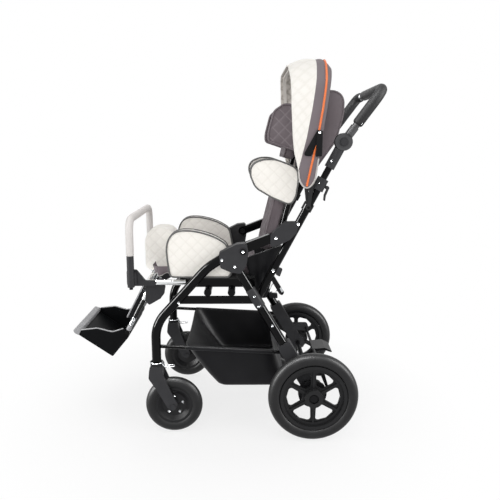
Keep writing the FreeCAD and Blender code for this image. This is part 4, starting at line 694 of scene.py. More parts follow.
# %% Seat, back and head cushions
RECLINE = (-127.35, 540.95)
BACK_LEAN = 14.0
CREASE_CLEAR_MM = 14
WIDE_QUILT_MM = 40.0
WIDE_DEEP_MM = 3.0


def facing_place(origin, lean, depth):
    """Outline across (Y) and up the part, thickness towards the front, starting at a depth."""
    foot = leaned(depth, 0.0, lean, origin)
    turn = math.radians(lean)
    up = Vector((math.sin(turn), 0, math.cos(turn))) * MM
    out = Vector((-math.cos(turn), 0, math.sin(turn))) * MM
    place = spot(foot[0], 0.0, foot[1])
    return Matrix((
        (0, up.x, out.x, place.x), (MM, 0, 0, place.y), (0, up.z, out.z, place.z), (0, 0, 0, 1),
    ))


def cushion_outline(half, low, high, pinch):
    """A rectangle whose sides are drawn in between the corners."""
    middle = (low + high) / 2
    return (
        (-half, low), (0, low + pinch), (half, low), (half - pinch, middle),
        (half, high), (0, high - pinch), (-half, high), (-half + pinch, middle),
    )


def crease(piece, place, seams, deep_mm):
    """Push slack folds, long along the part and narrow across it, into a pad's cover between its seams."""
    back = place.inverted()
    tree = seam_tree(seams)
    normals = [vertex.normal.copy() for vertex in piece.data.vertices]
    for vertex, normal in zip(piece.data.vertices, normals):
        local = back @ vertex.co
        ease = min(1.0, tree.find(vertex.co)[2] / (CREASE_CLEAR_MM * MM))
        fold = noise.noise(Vector((local.x * 0.03, local.y * 0.016, local.z * 0.04)))
        vertex.co += normal * deep_mm * MM * (fold - 0.3) * ease


def cushion(stem, outline, corner, thick, place, cap, body, node, crease_mm=0.0):
    pad, seams = sewn_pad(
        stem, outline, corner, thick, place, gray_quilt, cap, WIDE_QUILT_MM, WIDE_DEEP_MM, blown=False,
    )
    if crease_mm:
        crease(pad, place, seams, crease_mm)
    settle(pad, body)
    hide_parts(node)
    run_piece(stem + "_piping", seams[1:], PIPE_R, gray_cloth, body, "gray_fabric", closed=True)


SEAT_LEAN = 90.0
cushion(
    "seat_pad", cushion_outline(142, 4, 262, 5), 22, 44.0, facing_place((-446.0, 513.5), SEAT_LEAN, 0.0), 7.0,
    "chassis", "seat_cushion",
)
cushion(
    "back_pad", cushion_outline(136, 46, 334, 5), 22, 36.0, facing_place(RECLINE, BACK_LEAN, -12.5), 6.0,
    "backrest", "back_cushion", 8.0,
)
cushion(
    "head_pad", cushion_outline(94, 356, 532, 2), 22, 33.0, facing_place(RECLINE, BACK_LEAN, -17.5), 5.0,
    "headrest", "headrest_pad",
)

# %% [markdown]
# The pouch behind the upper backrest is slack cloth: it bulges at the rear, and its top is an open mouth,
# pressed down between the rims. A filled pad whose top is pushed in gives both in one mesh.

# %% Rear pouch
COVER_OUTLINE = ((3, 2), (3, 259), (53, 269), (78, 253), (90, 203), (89, 118), (48, 13))
COVER_HALF = 116.0
COVER_FOOT = (10.3, 330.0)
MOUTH_U = (9.0, 72.0)
MOUTH_DEEP = 52.0
MOUTH_EASE = 13.0
MOUTH_RIM = 8.0
MOUTH_FROM = 225.0
lean = math.radians(BACK_LEAN)
cover_foot = leaned(*COVER_FOOT, BACK_LEAN, RECLINE)
cover_place = Matrix((
    (MM * math.cos(lean), MM * math.sin(lean), 0, spot(cover_foot[0], 0, 0).x),
    (0, 0, MM, -COVER_HALF * MM),
    (-MM * math.sin(lean), MM * math.cos(lean), 0, cover_foot[1] * MM),
    (0, 0, 0, 1),
))
pouch, pouch_seams = sewn_pad(
    "rear_pouch", COVER_OUTLINE, 18, 2 * COVER_HALF, cover_place, gray_cloth, 7.0, 0, blown=False,
)
cover_back = cover_place.inverted()
cover_up = (cover_place.to_3x3() @ Vector((0, 1, 0))).normalized()
pouch_normals = [vertex.normal.copy() for vertex in pouch.data.vertices]
for vertex, normal in zip(pouch.data.vertices, pouch_normals):
    u, v, w = cover_back @ vertex.co
    edge_gap = min(w, 2 * COVER_HALF - w) - MOUTH_RIM
    inside = min(u - MOUTH_U[0], MOUTH_U[1] - u, edge_gap) / MOUTH_EASE
    if v > MOUTH_FROM and normal.dot(cover_up) > 0.3 and inside > 0:
        ease = min(1.0, inside)
        vertex.co -= cover_up * MOUTH_DEEP * MM * ease * ease * (3 - 2 * ease)
settle(pouch, "backrest")
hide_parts("back_cover")
run_piece("rear_pouch_piping", pouch_seams, PIPE_R, gray_cloth, "backrest", "gray_fabric", closed=True)

# %% [markdown]
# The canopy is one continuous cloth over two ribs. A grid is bent over the arch: one direction runs
# up, over and down, the other from the front edge to the rear. The ivory band tapers downwards, so the
# seam between the two cloths is one of the grid's own lines.

# %% Canopy hood
PIVOT = (-19.7, 744.8)
HOOD_HALF = 222.0
HOOD_TOP = 446.0
HOOD_FOOT = 62.0
HOOD_CORNER = 105.0
ROUND_END = 34.0
BAND_COLUMNS = 12
PANEL_COLUMNS = 10
ARCH_ROWS = 236
HOOD_SWELL = 5.0
CROWN_RISE = 18.0
FRONT_DROP = 8.0
REAR_DROP = 24.0
QUILT_ROWS = 29
QUILT_SLANT = 0.15
QUILT_LINE = 0.11
# Height above the pivot, then X of the front edge, the seam, the orange line and the rear edge
HOOD_STATIONS = (
    (62, -28, -28, -9, 14), (118, -34, -34, 3, 23), (170, -48, -21, 14, 30), (215, -53, -10, 23, 37),
    (300, -58, 5, 37, 50), (384, -61, 17, 47, 61), (446, -67, 22, 50, 69),
)


def arch(share):
    """Place (across, height) along the arch, from the left foot over the crown to the right foot."""
    side = HOOD_TOP - HOOD_CORNER
    bow = HOOD_CORNER * math.pi / 2
    flat = HOOD_HALF - HOOD_CORNER
    run = abs(2 * share - 1) * (flat + bow + side - HOOD_FOOT)
    hand = -1 if share < 0.5 else 1
    if run < flat:
        return hand * run, HOOD_TOP
    if run < flat + bow:
        turn = (run - flat) / HOOD_CORNER
        return hand * (flat + HOOD_CORNER * math.sin(turn)), side + HOOD_CORNER * math.cos(turn)
    return hand * HOOD_HALF, side - (run - flat - bow)


def hood_edges(height):
    """Front edge, seam between the cloths, orange line and rear edge, as X from the pivot."""
    for low, high in zip(HOOD_STATIONS, HOOD_STATIONS[1:]):
        if height <= high[0]:
            break
    share = max(0.0, min(1.0, (height - low[0]) / (high[0] - low[0])))
    edges = [a + (b - a) * share for a, b in zip(low[1:], high[1:])]
    rise = (height - HOOD_FOOT) / ROUND_END
    if rise < 1:
        middle = (edges[0] + edges[3]) / 2
        close = math.sqrt(max(0.0, 1 - (1 - rise) ** 2))
        edges = [middle + (x - middle) * close for x in edges]
    return edges


def hood_point(share, column, lift=0.0):
    """Place on the hood: column 0 is the front edge, 1 the seam, 2 the rear edge."""
    across, height = arch(share)
    front, seam, _, rear = hood_edges(height)
    x = front + (seam - front) * min(column, 1.0) + (rear - seam) * max(0.0, column - 1.0)
    up = max(0.0, (height - (HOOD_TOP - HOOD_CORNER)) / HOOD_CORNER)
    side = math.sqrt(max(0.0, 1 - up ** 2))
    bay = column if column < 1 else column - 1
    swell = HOOD_SWELL * math.sin(math.pi * min(1.0, bay)) * (0.35 + 0.65 * up)
    rise = CROWN_RISE * math.sin(math.pi / 2 * min(1.0, column)) - FRONT_DROP
    crown = up * (rise - REAR_DROP * max(0.0, column - 1.0) ** 2)
    hand = 1 if across > 0 else -1
    out = (swell + lift) * side
    return spot(PIVOT[0] + x, across + hand * out, PIVOT[1] + height + crown + (swell + lift) * up)


# %% [markdown]
# A grid from Blender takes its places from these functions. Each of its points also gets its share of the
# quilt lines, which the quilted finish reads. The hood's cloth is not pressed in there, so these lines are
# only painted: darker as shade on the ivory band and on the lining.

# %% Laying the cloth over the arch
hood_shape = bmesh.new()
columns = BAND_COLUMNS + PANEL_COLUMNS
bmesh.ops.create_grid(hood_shape, x_segments=columns, y_segments=ARCH_ROWS, size=0.5)
hood_line = hood_shape.verts.layers.float.new("line_tone_and_shade")
for face in hood_shape.faces:
    face.material_index = 0 if (face.calc_center_median().x + 0.5) * columns < BAND_COLUMNS else 1
    face.smooth = True
for vertex in hood_shape.verts:
    across_count = (vertex.co.x + 0.5) * columns
    share = vertex.co.y + 0.5
    if across_count <= BAND_COLUMNS:
        column = across_count / BAND_COLUMNS
    else:
        column = 1 + (across_count - BAND_COLUMNS) / PANEL_COLUMNS
    diamond = []
    for way in (1, -1):
        slant = share * QUILT_ROWS + way * across_count * QUILT_SLANT
        diamond.append(abs(slant - round(slant)))
    vertex[hood_line] = math.exp(-(min(diamond) / QUILT_LINE) ** 2)
    vertex.co = hood_point(share, column)
tidy(hood_shape, 0.01)
hood = as_object("canopy_cloth", hood_shape, cream_cloth)
for finish in (gray_cloth, lining, lining):
    hood.data.materials.append(finish)
print("hood faces", len(hood.data.polygons))

# %% [markdown]
# A wall gives the cloth its thickness and puts the quilted lining on its inner side.

# %% Cloths of the hood
HOOD_WALL = 2.4
add_wall(hood, HOOD_WALL).material_offset = 2
bake(hood)
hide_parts("canopy_hood")
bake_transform(hood)

# %% [markdown]
# An orange cord is sewn over the rear rib, and a pale binding closes the cloth round both feet. Both take
# their places from the functions that shaped the hood, so they lie on the cloth.

# %% Canopy cords
CORD_LIFT = 2.5
CORD_R = 3.4
BINDING_R = 2.8
BINDING_Y = HOOD_HALF + 0.6
BINDING_STEP = 8.0
FRONT_BINDING = 120
rib_line = []
for i in range(1, ARCH_ROWS):
    _, height = arch(i / ARCH_ROWS)
    _, seam, line, rear = hood_edges(height)
    rib_line.append(hood_point(i / ARCH_ROWS, 1 + (line - seam) / max(rear - seam, 1e-6), CORD_LIFT))
run_piece("canopy_orange_cord", [rib_line], CORD_R, orange_cord, "back_frame", "cream_quilt", tapered=True)

rises = [HOOD_FOOT + ROUND_END * (1 - math.cos(math.radians(10 * i))) for i in range(10)]
rises += [HOOD_FOOT + ROUND_END + BINDING_STEP * i for i in range(1, 8)]
bindings = []
for side in (LEFT, RIGHT):
    y = side * BINDING_Y
    down = [spot(PIVOT[0] + hood_edges(h)[0], y, PIVOT[1] + h) for h in reversed(rises) if h < FRONT_BINDING]
    up = [spot(PIVOT[0] + hood_edges(h)[3], y, PIVOT[1] + h) for h in rises[1:]]
    bindings.append(down + up)
run_piece("canopy_foot_binding", bindings, BINDING_R, pale_cord, "back_frame", "cream_quilt", tapered=True)

# %% [markdown]
# The basket hangs between two rods. Its floor is drawn, drawn out to the wider mouth, cut into small
# faces and then let sag: the floor drops, the walls belly out and shallow folds run down from the hem. The
# cloth solver could hang it too, but a rule is quicker and keeps the mouth on the rods.

# %% Basket
FLOOR_X = (-308.0, -82.0)
FLOOR_HALF = 184.0
FLOOR_Z = 134.0
MOUTH_X = (-418.0, -122.0)
MOUTH_HALF = 212.0
ROD_Y = 218.0
WALL_ROWS = 11
FLOOR_RINGS = 5
FLOOR_STEP = 0.78
SIDE_CUTS = 13
LONG_EDGE = 60
HEM_SHORT = 4.0
HEM_OVER = 5.0
HEM_R = 7.8
BAG_WALL = 1.8
ROD_FRONT = (-507.0, 290.0)
ROD_SLOPE = 0.0552


def rod_height(x):
    return ROD_FRONT[1] - ROD_SLOPE * (x - ROD_FRONT[0])


def hem_height(x):
    """Height of the bag's mouth above its floor."""
    return rod_height(x) + HEM_OVER - FLOOR_Z


front, rear = FLOOR_X
floor_outline = ((front, -FLOOR_HALF), (rear, -FLOOR_HALF), (rear, FLOOR_HALF), (front, FLOOR_HALF))
bag = panel(floor_outline, 30)
long_sides = [edge for edge in bag.edges if edge.calc_length() > LONG_EDGE]
bmesh.ops.subdivide_edges(bag, edges=long_sides, cuts=SIDE_CUTS)
floor_face = bag.faces[:][0]
drawn = bmesh.ops.extrude_face_region(bag, geom=[floor_face], use_keep_orig=True)
mouth = [item for item in drawn["geom"] if isinstance(item, bmesh.types.BMVert)]
lids = [item for item in drawn["geom"] if isinstance(item, bmesh.types.BMFace)]
for vertex in mouth:
    along = (vertex.co.x - front) / (rear - front)
    x = MOUTH_X[0] + along * (MOUTH_X[1] - MOUTH_X[0])
    vertex.co = (x, vertex.co.y * MOUTH_HALF / FLOOR_HALF, hem_height(x))
bmesh.ops.delete(bag, geom=lids, context="FACES_ONLY")
risers = [edge for edge in bag.edges if abs(edge.verts[0].co.z - edge.verts[1].co.z) > LONG_EDGE]
bmesh.ops.subdivide_edges(bag, edges=risers, cuts=WALL_ROWS, use_grid_fill=True)
floor_faces = [face for face in bag.faces if len(face.verts) > 4]
for _ in range(FLOOR_RINGS):
    bmesh.ops.inset_region(bag, faces=floor_faces, thickness=0.0)
    middle = Matrix.Translation(-floor_faces[0].calc_center_median())
    bmesh.ops.scale(bag, vec=(FLOOR_STEP, FLOOR_STEP, 1.0), space=middle, verts=floor_faces[0].verts[:])
bag.normal_update()
print("bag faces", len(bag.faces))

# %% [markdown]
# Sagging is done point by point: how far a point is up the wall decides how much it may hang.

# %% Sag and folds
FLOOR_SAG = 9.0
FLOOR_EASE = 90.0
BAG_MIDDLE = -240.0
BELLY = 6.0
FOLD = 7.0
RIPPLE = 2.4
END_SHARE = 0.86
HEM_DIP = 20.0
for vertex in bag.verts:
    x, y, z = vertex.co
    up = max(0.0, min(1.0, z / hem_height(x)))
    belly = math.sin(math.pi * up ** 0.8)
    if up < 0.001:
        inner = max(0.0, min(1.0, min(x - front, rear - x, FLOOR_HALF - abs(y)) / FLOOR_EASE))
        vertex.co.z -= FLOOR_SAG * inner * (2 - inner)
        continue
    out = Vector((x - BAG_MIDDLE, y, 0)).normalized()
    fold = noise.noise(Vector((x * 0.018 + z * 0.010, y * 0.018, z * 0.006))) * FOLD
    ripple = noise.noise(Vector((x * 0.06 - z * 0.03, y * 0.06, z * 0.02))) * RIPPLE
    on_end = abs(y) < END_SHARE * MOUTH_HALF
    shift = BELLY * belly + (fold + ripple) * belly
    vertex.co.x += out.x * shift
    vertex.co.y += out.y * shift * (1.0 if on_end else 0.5)
    if on_end:
        vertex.co.z -= HEM_DIP * up ** 2 * (1 - (y / MOUTH_HALF) ** 2)
bag_place = Matrix(((MM, 0, 0, AXLE_X), (0, MM, 0, 0), (0, 0, MM, FLOOR_Z * MM), (0, 0, 0, 1)))
bmesh.ops.transform(bag, matrix=bag_place, verts=bag.verts[:])
tidy(bag)
basket_area = sum(face.calc_area() for face in bag.faces)
basket = as_object("basket_bag", bag, black_nylon)
add_wall(basket, BAG_WALL, -1.0)
add_finer(basket)
bake(basket)
settle(basket, "chassis")
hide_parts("basket")
print("basket cloth area", round(basket_area, 4))

hem_ends = (MOUTH_X[0] + HEM_SHORT, MOUTH_X[1] - HEM_SHORT)
hem_runs = [[spot(x, side * ROD_Y, rod_height(x)) for x in hem_ends] for side in (LEFT, RIGHT)]
run_piece("basket_hems", hem_runs, HEM_R, black_nylon, "chassis", "basket_cloth", tapered=True)

# %% [markdown]
# Foam sleeves: black on the handle, pale on the grab bar. Each is a tube with softened ends. The handle's
# left sleeve runs on along the crossbar, so the bare metal shows towards the right.

# %% Foam sleeves
HANDLE_TOP = (207.1, 1109.9)
GRIP_FOOT = (126.2, 1000.1)
BAR_Y = 204.0
GRIP_BEND = 55.0
GRIP_R = 17.0
grip_runs = []
for side, bare in ((LEFT, BARE_FROM), (RIGHT, BARE_TO)):
    corners = [
        spot(HANDLE_TOP[0], bare, HANDLE_TOP[1]), spot(HANDLE_TOP[0], side * BAR_Y, HANDLE_TOP[1]),
        spot(GRIP_FOOT[0], side * BAR_Y, GRIP_FOOT[1]),
    ]
    grip_runs.append(rounded_route(corners, GRIP_BEND, 16))
grips = run_piece("handle_foam", grip_runs, GRIP_R, black_foam, "handle", "black_foam", tapered=True, sides=9)
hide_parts("handle_grips")

GRAB_X = -587.0
GRAB_Y = 198.5
GRAB_LOW = 586.5
GRAB_TOP = 703.0
GRAB_BEND = 46.0
GRAB_R = 12.6
grab_corners = [
    spot(GRAB_X, -GRAB_Y, GRAB_LOW), spot(GRAB_X, -GRAB_Y, GRAB_TOP),
    spot(GRAB_X, GRAB_Y, GRAB_TOP), spot(GRAB_X, GRAB_Y, GRAB_LOW),
]
grab_route = rounded_route(grab_corners, GRAB_BEND, 16)
grab = run_piece("grab_bar_foam", [grab_route], GRAB_R, pale_foam, "grab", "gray_foam", tapered=True, sides=9)
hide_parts("grab_foam")

# %% [markdown]
# The calf panel hangs between the leg hangers: a thin black pad with a pale edge. It is sewn as the cushions
# are, without their quilting.

# %% Calf panel
TRIM_R = 2.6
CALF_DEPTH = -6.8
calf_place = facing_place(LEG_PIVOT, LEG_LEAN, CALF_DEPTH)
calf, calf_seams = sewn_pad(
    "calf_pad", cushion_outline(134, -137, -18, 3), 14, 16.5, calf_place, black_nylon, 3.0, 0, blown=False,
)
settle(calf, "legrest")
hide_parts("calf_panel")
run_piece("calf_pad_edge", calf_seams[1:], TRIM_R, pale_trim, "legrest", "gray_fabric", closed=True)

# %% [markdown]
# Screws are small but bright, so the eye finds them. Each is a low cone with a sunk socket,
# set on the face that it clamps. A painted dot would not catch the light.

# %% Screw heads
FOLD_PIVOT = (-225.0, 610.0)
FRONT_AXLE = (-452.6, 93.7)
WHEEL_Y = 228.0
WHEEL_BOLTS = 5
BOLT_RING = 30.0
DISC_FACE = 6.3


def screws(name, heads, body):
    """One mesh of screw heads, each (x, z, face y, radius); they point away from the middle plane."""
    shape = bmesh.new()
    for x, z, face_y, radius in heads:
        hand = 1 if face_y > 0 else -1
        turn = Matrix.Rotation(math.radians(-90 * hand), 4, "X")
        made = bmesh.ops.create_cone(
            shape, cap_ends=True, segments=20,
            radius1=radius * MM, radius2=0.84 * radius * MM, depth=0.5 * radius * MM,
            matrix=Matrix.Translation(spot(x, face_y + hand * 0.2 * radius, z)) @ turn,
        )
        caps = {face for vertex in made["verts"] for face in vertex.link_faces if len(face.verts) > 4}
        shape.normal_update()
        top = max(caps, key=lambda face: hand * face.calc_center_median().y)
        bmesh.ops.inset_individual(shape, faces=[top], thickness=0.36 * radius * MM)
        bmesh.ops.translate(shape, vec=(0, -hand * 0.28 * radius * MM, 0), verts=top.verts[:])
    tidy(shape)
    settle(as_object(name, shape, zinc), body, 35)


def both(places, face_y, radius):
    return [(x, z, side * face_y, radius) for side in (LEFT, RIGHT) for x, z in places]


bolt_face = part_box("frame_bolts")[1].y / MM
screws("leg_screws", both(((-430, 443), (-189, 464), (-174, 432), (-131, 366)), 243.0, 4.2), "chassis")
screws("hub_screws", both(((-251, 562), (-291, 583)), 247.0, 4.4), "chassis")
screws("fold_screws", both((FOLD_PIVOT,), bolt_face, 4.6), "chassis")
screws("link_screws", both(((-120, 647), (-50, 692)), 213.0, 4.6), "back_frame")
screws("recline_screws", both((RECLINE,), 211.0, 5.4) + both(((16, 821),), 214.0, 4.0), "back_frame")
screws("post_screws", both(((51, 890),), 212.0, 4.2), "handle_post")
screws("handle_screws", both(((137, 1003),), 217.0, 4.2), "handle")
screws("plate_screws", both(((-576, 520),), 189.2, 4.2), "seat_front")
screws("leg_joint_screws", both(((-544, 429),), 155.5, 4.6), "legrest")
for hand, side in SIDES.items():
    ring = []
    for i in range(WHEEL_BOLTS):
        turn = 2 * math.pi * (i + 0.25) / WHEEL_BOLTS
        x = FRONT_AXLE[0] + BOLT_RING * math.cos(turn)
        z = FRONT_AXLE[1] + BOLT_RING * math.sin(turn)
        ring.append((x, z, side * (WHEEL_Y + DISC_FACE), 4.4))
    screws("front_wheel_bolts_" + hand, ring, "front_wheel_" + hand)

# %% [markdown]
# The foot box has a pale bumper along its toe and a soft trim on the rims of its side walls. The bumper has
# the same section all across, so its outline is drawn and pushed. The trim is a round section along a line.

# %% Foot box trim
FOOT_AXLE = (-616.5, 314.0)
TOE_OUTLINE = ((-167, -16), (-182, -9), (-187, 2), (-179, 9), (-161, 3), (-158, -8))
TOE_HALF = 134.0
RIM_LINE = ((-160, 3), (-104, 9), (-54, -5), (-16, 7))
RIM_Y = 131.5
RIM_BEND = 40.0


def slab_piece(name, outline, corner, spans, finish, bevel=0.8):
    """A plate drawn in the side view and pushed across, once for each span of Y."""
    whole = bmesh.new()
    for low, high in spans:
        shape = panel(outline, corner)
        pushed = bmesh.ops.extrude_face_region(shape, geom=shape.faces[:], use_keep_orig=True)
        far = [item for item in pushed["geom"] if isinstance(item, bmesh.types.BMVert)]
        bmesh.ops.translate(shape, vec=(0, 0, high - low), verts=far)
        bmesh.ops.recalc_face_normals(shape, faces=shape.faces[:])
        rims = [edge for edge in shape.edges if len(edge.link_faces) == 2 and edge.calc_face_angle() > 1.2]
        bmesh.ops.bevel(
            shape, geom=rims, offset=bevel, offset_type="OFFSET", segments=2, profile=0.5,
            affect="EDGES", material=-1,
        )
        bmesh.ops.transform(shape, matrix=side_place((0.0, 0.0), low), verts=shape.verts[:])
        part = bpy.data.meshes.new(name)
        shape.to_mesh(part)
        shape.free()
        whole.from_mesh(part)
    tidy(whole)
    return as_object(name, whole, finish)


def on_foot(points):
    return [(FOOT_AXLE[0] + x, FOOT_AXLE[1] + z) for x, z in points]


toe = slab_piece("foot_toe_bumper", on_foot(TOE_OUTLINE), 3, [(-TOE_HALF, TOE_HALF)], pale_trim, 1.5)
settle(toe, "foot_box", 40)
rim_runs = []
for side in (LEFT, RIGHT):
    rim = [spot(x, side * RIM_Y, z) for x, z in on_foot(RIM_LINE)]
    rim_runs.append(rounded_route(rim, RIM_BEND, 8))
run_piece("foot_box_rims", rim_runs, TRIM_R, pale_trim, "foot_box", "foot_plastic", tapered=True)

# %% [markdown]
# Thin plates form the canopy's elbow links, the stop and the release of the backrest. Each is drawn once in
# the side view and made on both sides.

# %% Links and levers
# Name, outline, corner radius, the two distances across that it lies between, finish
PLATES = (
    (
        "canopy_links_upper", ((2, 984), (14, 976), (-16, 903), (-36, 905), (-38, 912)), 3,
        (228.0, 230.6), black_steel,
    ),
    ("canopy_links_lower", ((0, 982), (18, 980), (17, 903), (-3, 902)), 3, (231.0, 233.6), black_steel),
    ("recline_stops", ((-118, 552), (-97, 544), (-106, 519), (-119, 526)), 3, (190.0, 206.0), moulded_gray),
    (
        "recline_releases", ((-138, 514), (-124, 521), (-90, 465), (-96, 455), (-106, 459)), 4,
        (193.0, 199.0), black_steel,
    ),
    ("recline_slots", ((-106, 480), (-100, 483), (-93, 468), (-99, 465)), 1.5, (192.4, 199.6), zinc),
    ("recline_clamps", ((-141, 463), (-113, 463), (-112, 447), (-138, 447)), 3, (190.0, 204.0), black_steel),
)
for name, outline, corner, (y_in, y_out), finish in PLATES:
    spans = [(-y_out, -y_in), (y_in, y_out)]
    settle(slab_piece(name, outline, corner, spans, finish), "back_frame", 40)
screws("link_bolts", both(((8, 975),), 233.6, 4.4), "back_frame")

# %% [markdown]
# Rings, wires and short sleeves finish the tubes: a bright ring on each caster, a wire that locks it, a
# moulded sleeve on the rear legs and threaded rods with pale clips at the foot rest.

# %% Rings, wires and sleeves
RECLINE_WIRE = ((-124, 497), (-132, 488), (-137, 469), (-112, 470))
RECLINE_WIRE_Y = 196.0
RECLINE_WIRE_R = 1.8
LEG_SLEEVE = ((-204, 487), (-166, 424))
LEG_SLEEVE_R = 16.8
PLUG_LINE = ((GRAB_X, 476), (GRAB_X, 484))
PLUG_R = 6.0
CASTER_TOP = (-507.0, 240.5)
LOCK_SIDE = ((-489, 236), (-480, 224), (-450, 226))
LOCK_HALF = 8.0
LOCK_BEND = 6.0
LOCK_WIRE_R = 1.6
RING_R = 20.7
RING_WIRE_R = 1.4
ROD_Y_FOOT = 147.0
THREAD_FROM = 116.0
THREAD_TO = 150.0
THREAD_PITCH = 3.2
THREAD_R = 6.6
THREAD_WIRE_R = 0.9
TURN_STEPS = 12
CLIP_TO = 168.0
CLIP_R = 8.6


def both_sides(points, y):
    return [[spot(x, side * y, z) for x, z in points] for side in (LEFT, RIGHT)]


def down_leg(along, y):
    place = spot(LEG_PIVOT[0], y, LEG_PIVOT[1])
    return place + Vector(leg_down) * along * MM


wire_runs = both_sides(RECLINE_WIRE, RECLINE_WIRE_Y)
run_piece("recline_wires", wire_runs, RECLINE_WIRE_R, zinc, "back_frame", "bright_steel")
leg_runs = both_sides(LEG_SLEEVE, WHEEL_Y)
run_piece(
    "rear_leg_sleeves", leg_runs, LEG_SLEEVE_R, moulded_gray, "chassis", "moulded_gray", tapered=True, sides=9,
)
plugs = round_run("bracket_plugs", both_sides(PLUG_LINE, GRAB_Y), PLUG_R, black_steel)
settle(plugs, "seat_front", 40)
for hand, side in SIDES.items():
    y = side * WHEEL_Y
    circle = [math.radians(10 * i) for i in range(36)]
    x, z = CASTER_TOP
    ring = [spot(x + RING_R * math.cos(a), y + RING_R * math.sin(a), z) for a in circle]
    run_piece("caster_ring_" + hand, [ring], RING_WIRE_R, zinc, "caster_" + hand, "bright_steel", closed=True)
    lock = [spot(x, y - LOCK_HALF, z) for x, z in LOCK_SIDE]
    lock += [spot(x, y + LOCK_HALF, z) for x, z in reversed(LOCK_SIDE)]
    lock_route = rounded_route(lock, LOCK_BEND, 5)
    run_piece("caster_lock_" + hand, [lock_route], LOCK_WIRE_R, zinc, "caster_" + hand, "bright_steel")

threads = []
clips = []
leg_ahead = Vector((math.cos(math.radians(LEG_LEAN)), 0, -math.sin(math.radians(LEG_LEAN))))
for side in (LEFT, RIGHT):
    y = side * ROD_Y_FOOT
    coil = []
    for i in range(int((THREAD_TO - THREAD_FROM) / THREAD_PITCH * TURN_STEPS)):
        turn = 2 * math.pi * i / TURN_STEPS
        outward = leg_ahead * math.cos(turn) + Vector(ACROSS) * math.sin(turn)
        coil.append(down_leg(THREAD_FROM + THREAD_PITCH * i / TURN_STEPS, y) + outward * THREAD_R * MM)
    threads.append(coil)
    clips.append([down_leg(THREAD_TO, y), down_leg(CLIP_TO, y)])
run_piece("foot_rod_threads", threads, THREAD_WIRE_R, zinc, "footrest", "bright_steel", sides=2)
run_piece("foot_rod_clips", clips, CLIP_R, pale_trim, "footrest", "foot_plastic", tapered=True)

# %% [markdown]
# Two cloths close the seat. A black flap hangs at each side between the seat and the back tubes, and a taupe
# skirt lies round the front corners of the cushion. A grid is laid over four corners or along a route, then
# pushed into folds.

# %% Flaps and skirt
FLAP_CORNERS = ((-219, 572), (-97, 616), (-146, 436), (-180, 432))
FLAP_Y = 156.0
FLAP_FOLD = 5.0
FLAP_SLACK = 3.0
FLAP_WAVES_ALONG = 2.3
FLAP_WAVES_DOWN = 0.4
SKIRT_PLAN = ((-466, 146), (-512, 146), (-527, 126), (-527, 64))
SKIRT_TOP = 541.0
SKIRT_LOW = 512.0
SKIRT_WAVES = 2.6
SKIRT_FLARE = 10.0
FLARE_WAVE = 4.0
HEM_WAVE = 5.0
SKIRT_BEND = 16.0
SKIRT_HEM_R = 1.8


def cloth_grid(name, across, down, place, finish, wall_mm):
    """A sheet of cells whose corners are put in place by a function of two shares."""
    shape = bmesh.new()
    bmesh.ops.create_grid(shape, x_segments=across, y_segments=down, size=0.5)
    for vertex in shape.verts:
        vertex.co = place(vertex.co.x + 0.5, vertex.co.y + 0.5)
    tidy(shape)
    piece = as_object(name, shape, finish)
    area = sum(face.area for face in piece.data.polygons)
    add_wall(piece, wall_mm)
    return bake(piece), area


def on_flap(u, v, side):
    """Place on a flap: u from front to rear, v from top to bottom."""
    top = Vector(FLAP_CORNERS[0]).lerp(Vector(FLAP_CORNERS[1]), u)
    low = Vector(FLAP_CORNERS[3]).lerp(Vector(FLAP_CORNERS[2]), u)
    x, z = top.lerp(low, v)
    turn = 2 * math.pi * (FLAP_WAVES_ALONG * u + FLAP_WAVES_DOWN * v)
    fold = FLAP_FOLD * math.sin(turn) * v * (1.2 - v)
    slack = FLAP_SLACK * noise.noise(Vector((5 * u, 4 * v, 0.5)))
    return spot(x, side * (FLAP_Y + (fold + slack)), z)


def on_skirt(u, v, side, plan, lengths):
    """Place on a skirt: u along its plan, v from top to bottom, where it flares and waves."""
    run = u * lengths[-1]
    i = max(0, min(len(plan) - 2, sum(1 for value in lengths if value < run) - 1))
    step = (plan[i + 1] - plan[i]).normalized()
    foot = plan[i] + step * (run - lengths[i])
    outward = Vector((step.y, -step.x, 0)) * (-side)
    wave = math.sin(2 * math.pi * SKIRT_WAVES * u)
    flare = (SKIRT_FLARE + FLARE_WAVE * wave) * v * MM
    z = SKIRT_TOP + (SKIRT_LOW + HEM_WAVE * wave - SKIRT_TOP) * v
    return Vector((AXLE_X + foot.x, foot.y, z * MM)) + outward * flare


for hand, side in SIDES.items():
    flap, flap_area = cloth_grid(
        "seat_flap_" + hand, 30, 30, lambda u, v: on_flap(u, v, side), black_nylon, 1.6,
    )
    settle(flap, "back_frame")
    plan = rounded_route([Vector((x, side * y, 0)) * MM for x, y in SKIRT_PLAN], SKIRT_BEND, 10)
    lengths = [0.0]
    for a, b in zip(plan, plan[1:]):
        lengths.append(lengths[-1] + (b - a).length)
    skirt, skirt_area = cloth_grid(
        "seat_skirt_" + hand, 48, 10, lambda u, v: on_skirt(u, v, side, plan, lengths), gray_cloth, 2.0,
    )
    settle(skirt, "chassis")
    hem_line = [on_skirt(i / 60, 1.0, side, plan, lengths) for i in range(61)]
    run_piece(
        "seat_skirt_hem_" + hand, [hem_line], SKIRT_HEM_R, pale_cord, "chassis", "gray_fabric", tapered=True,
    )
    print(hand, "flap", round(flap_area, 4), "skirt", round(skirt_area, 4))

# %% [markdown]
# The stage is a pale floor that turns to plain white away from the object, so the wheels keep their
# soft shadow and no horizon shows.

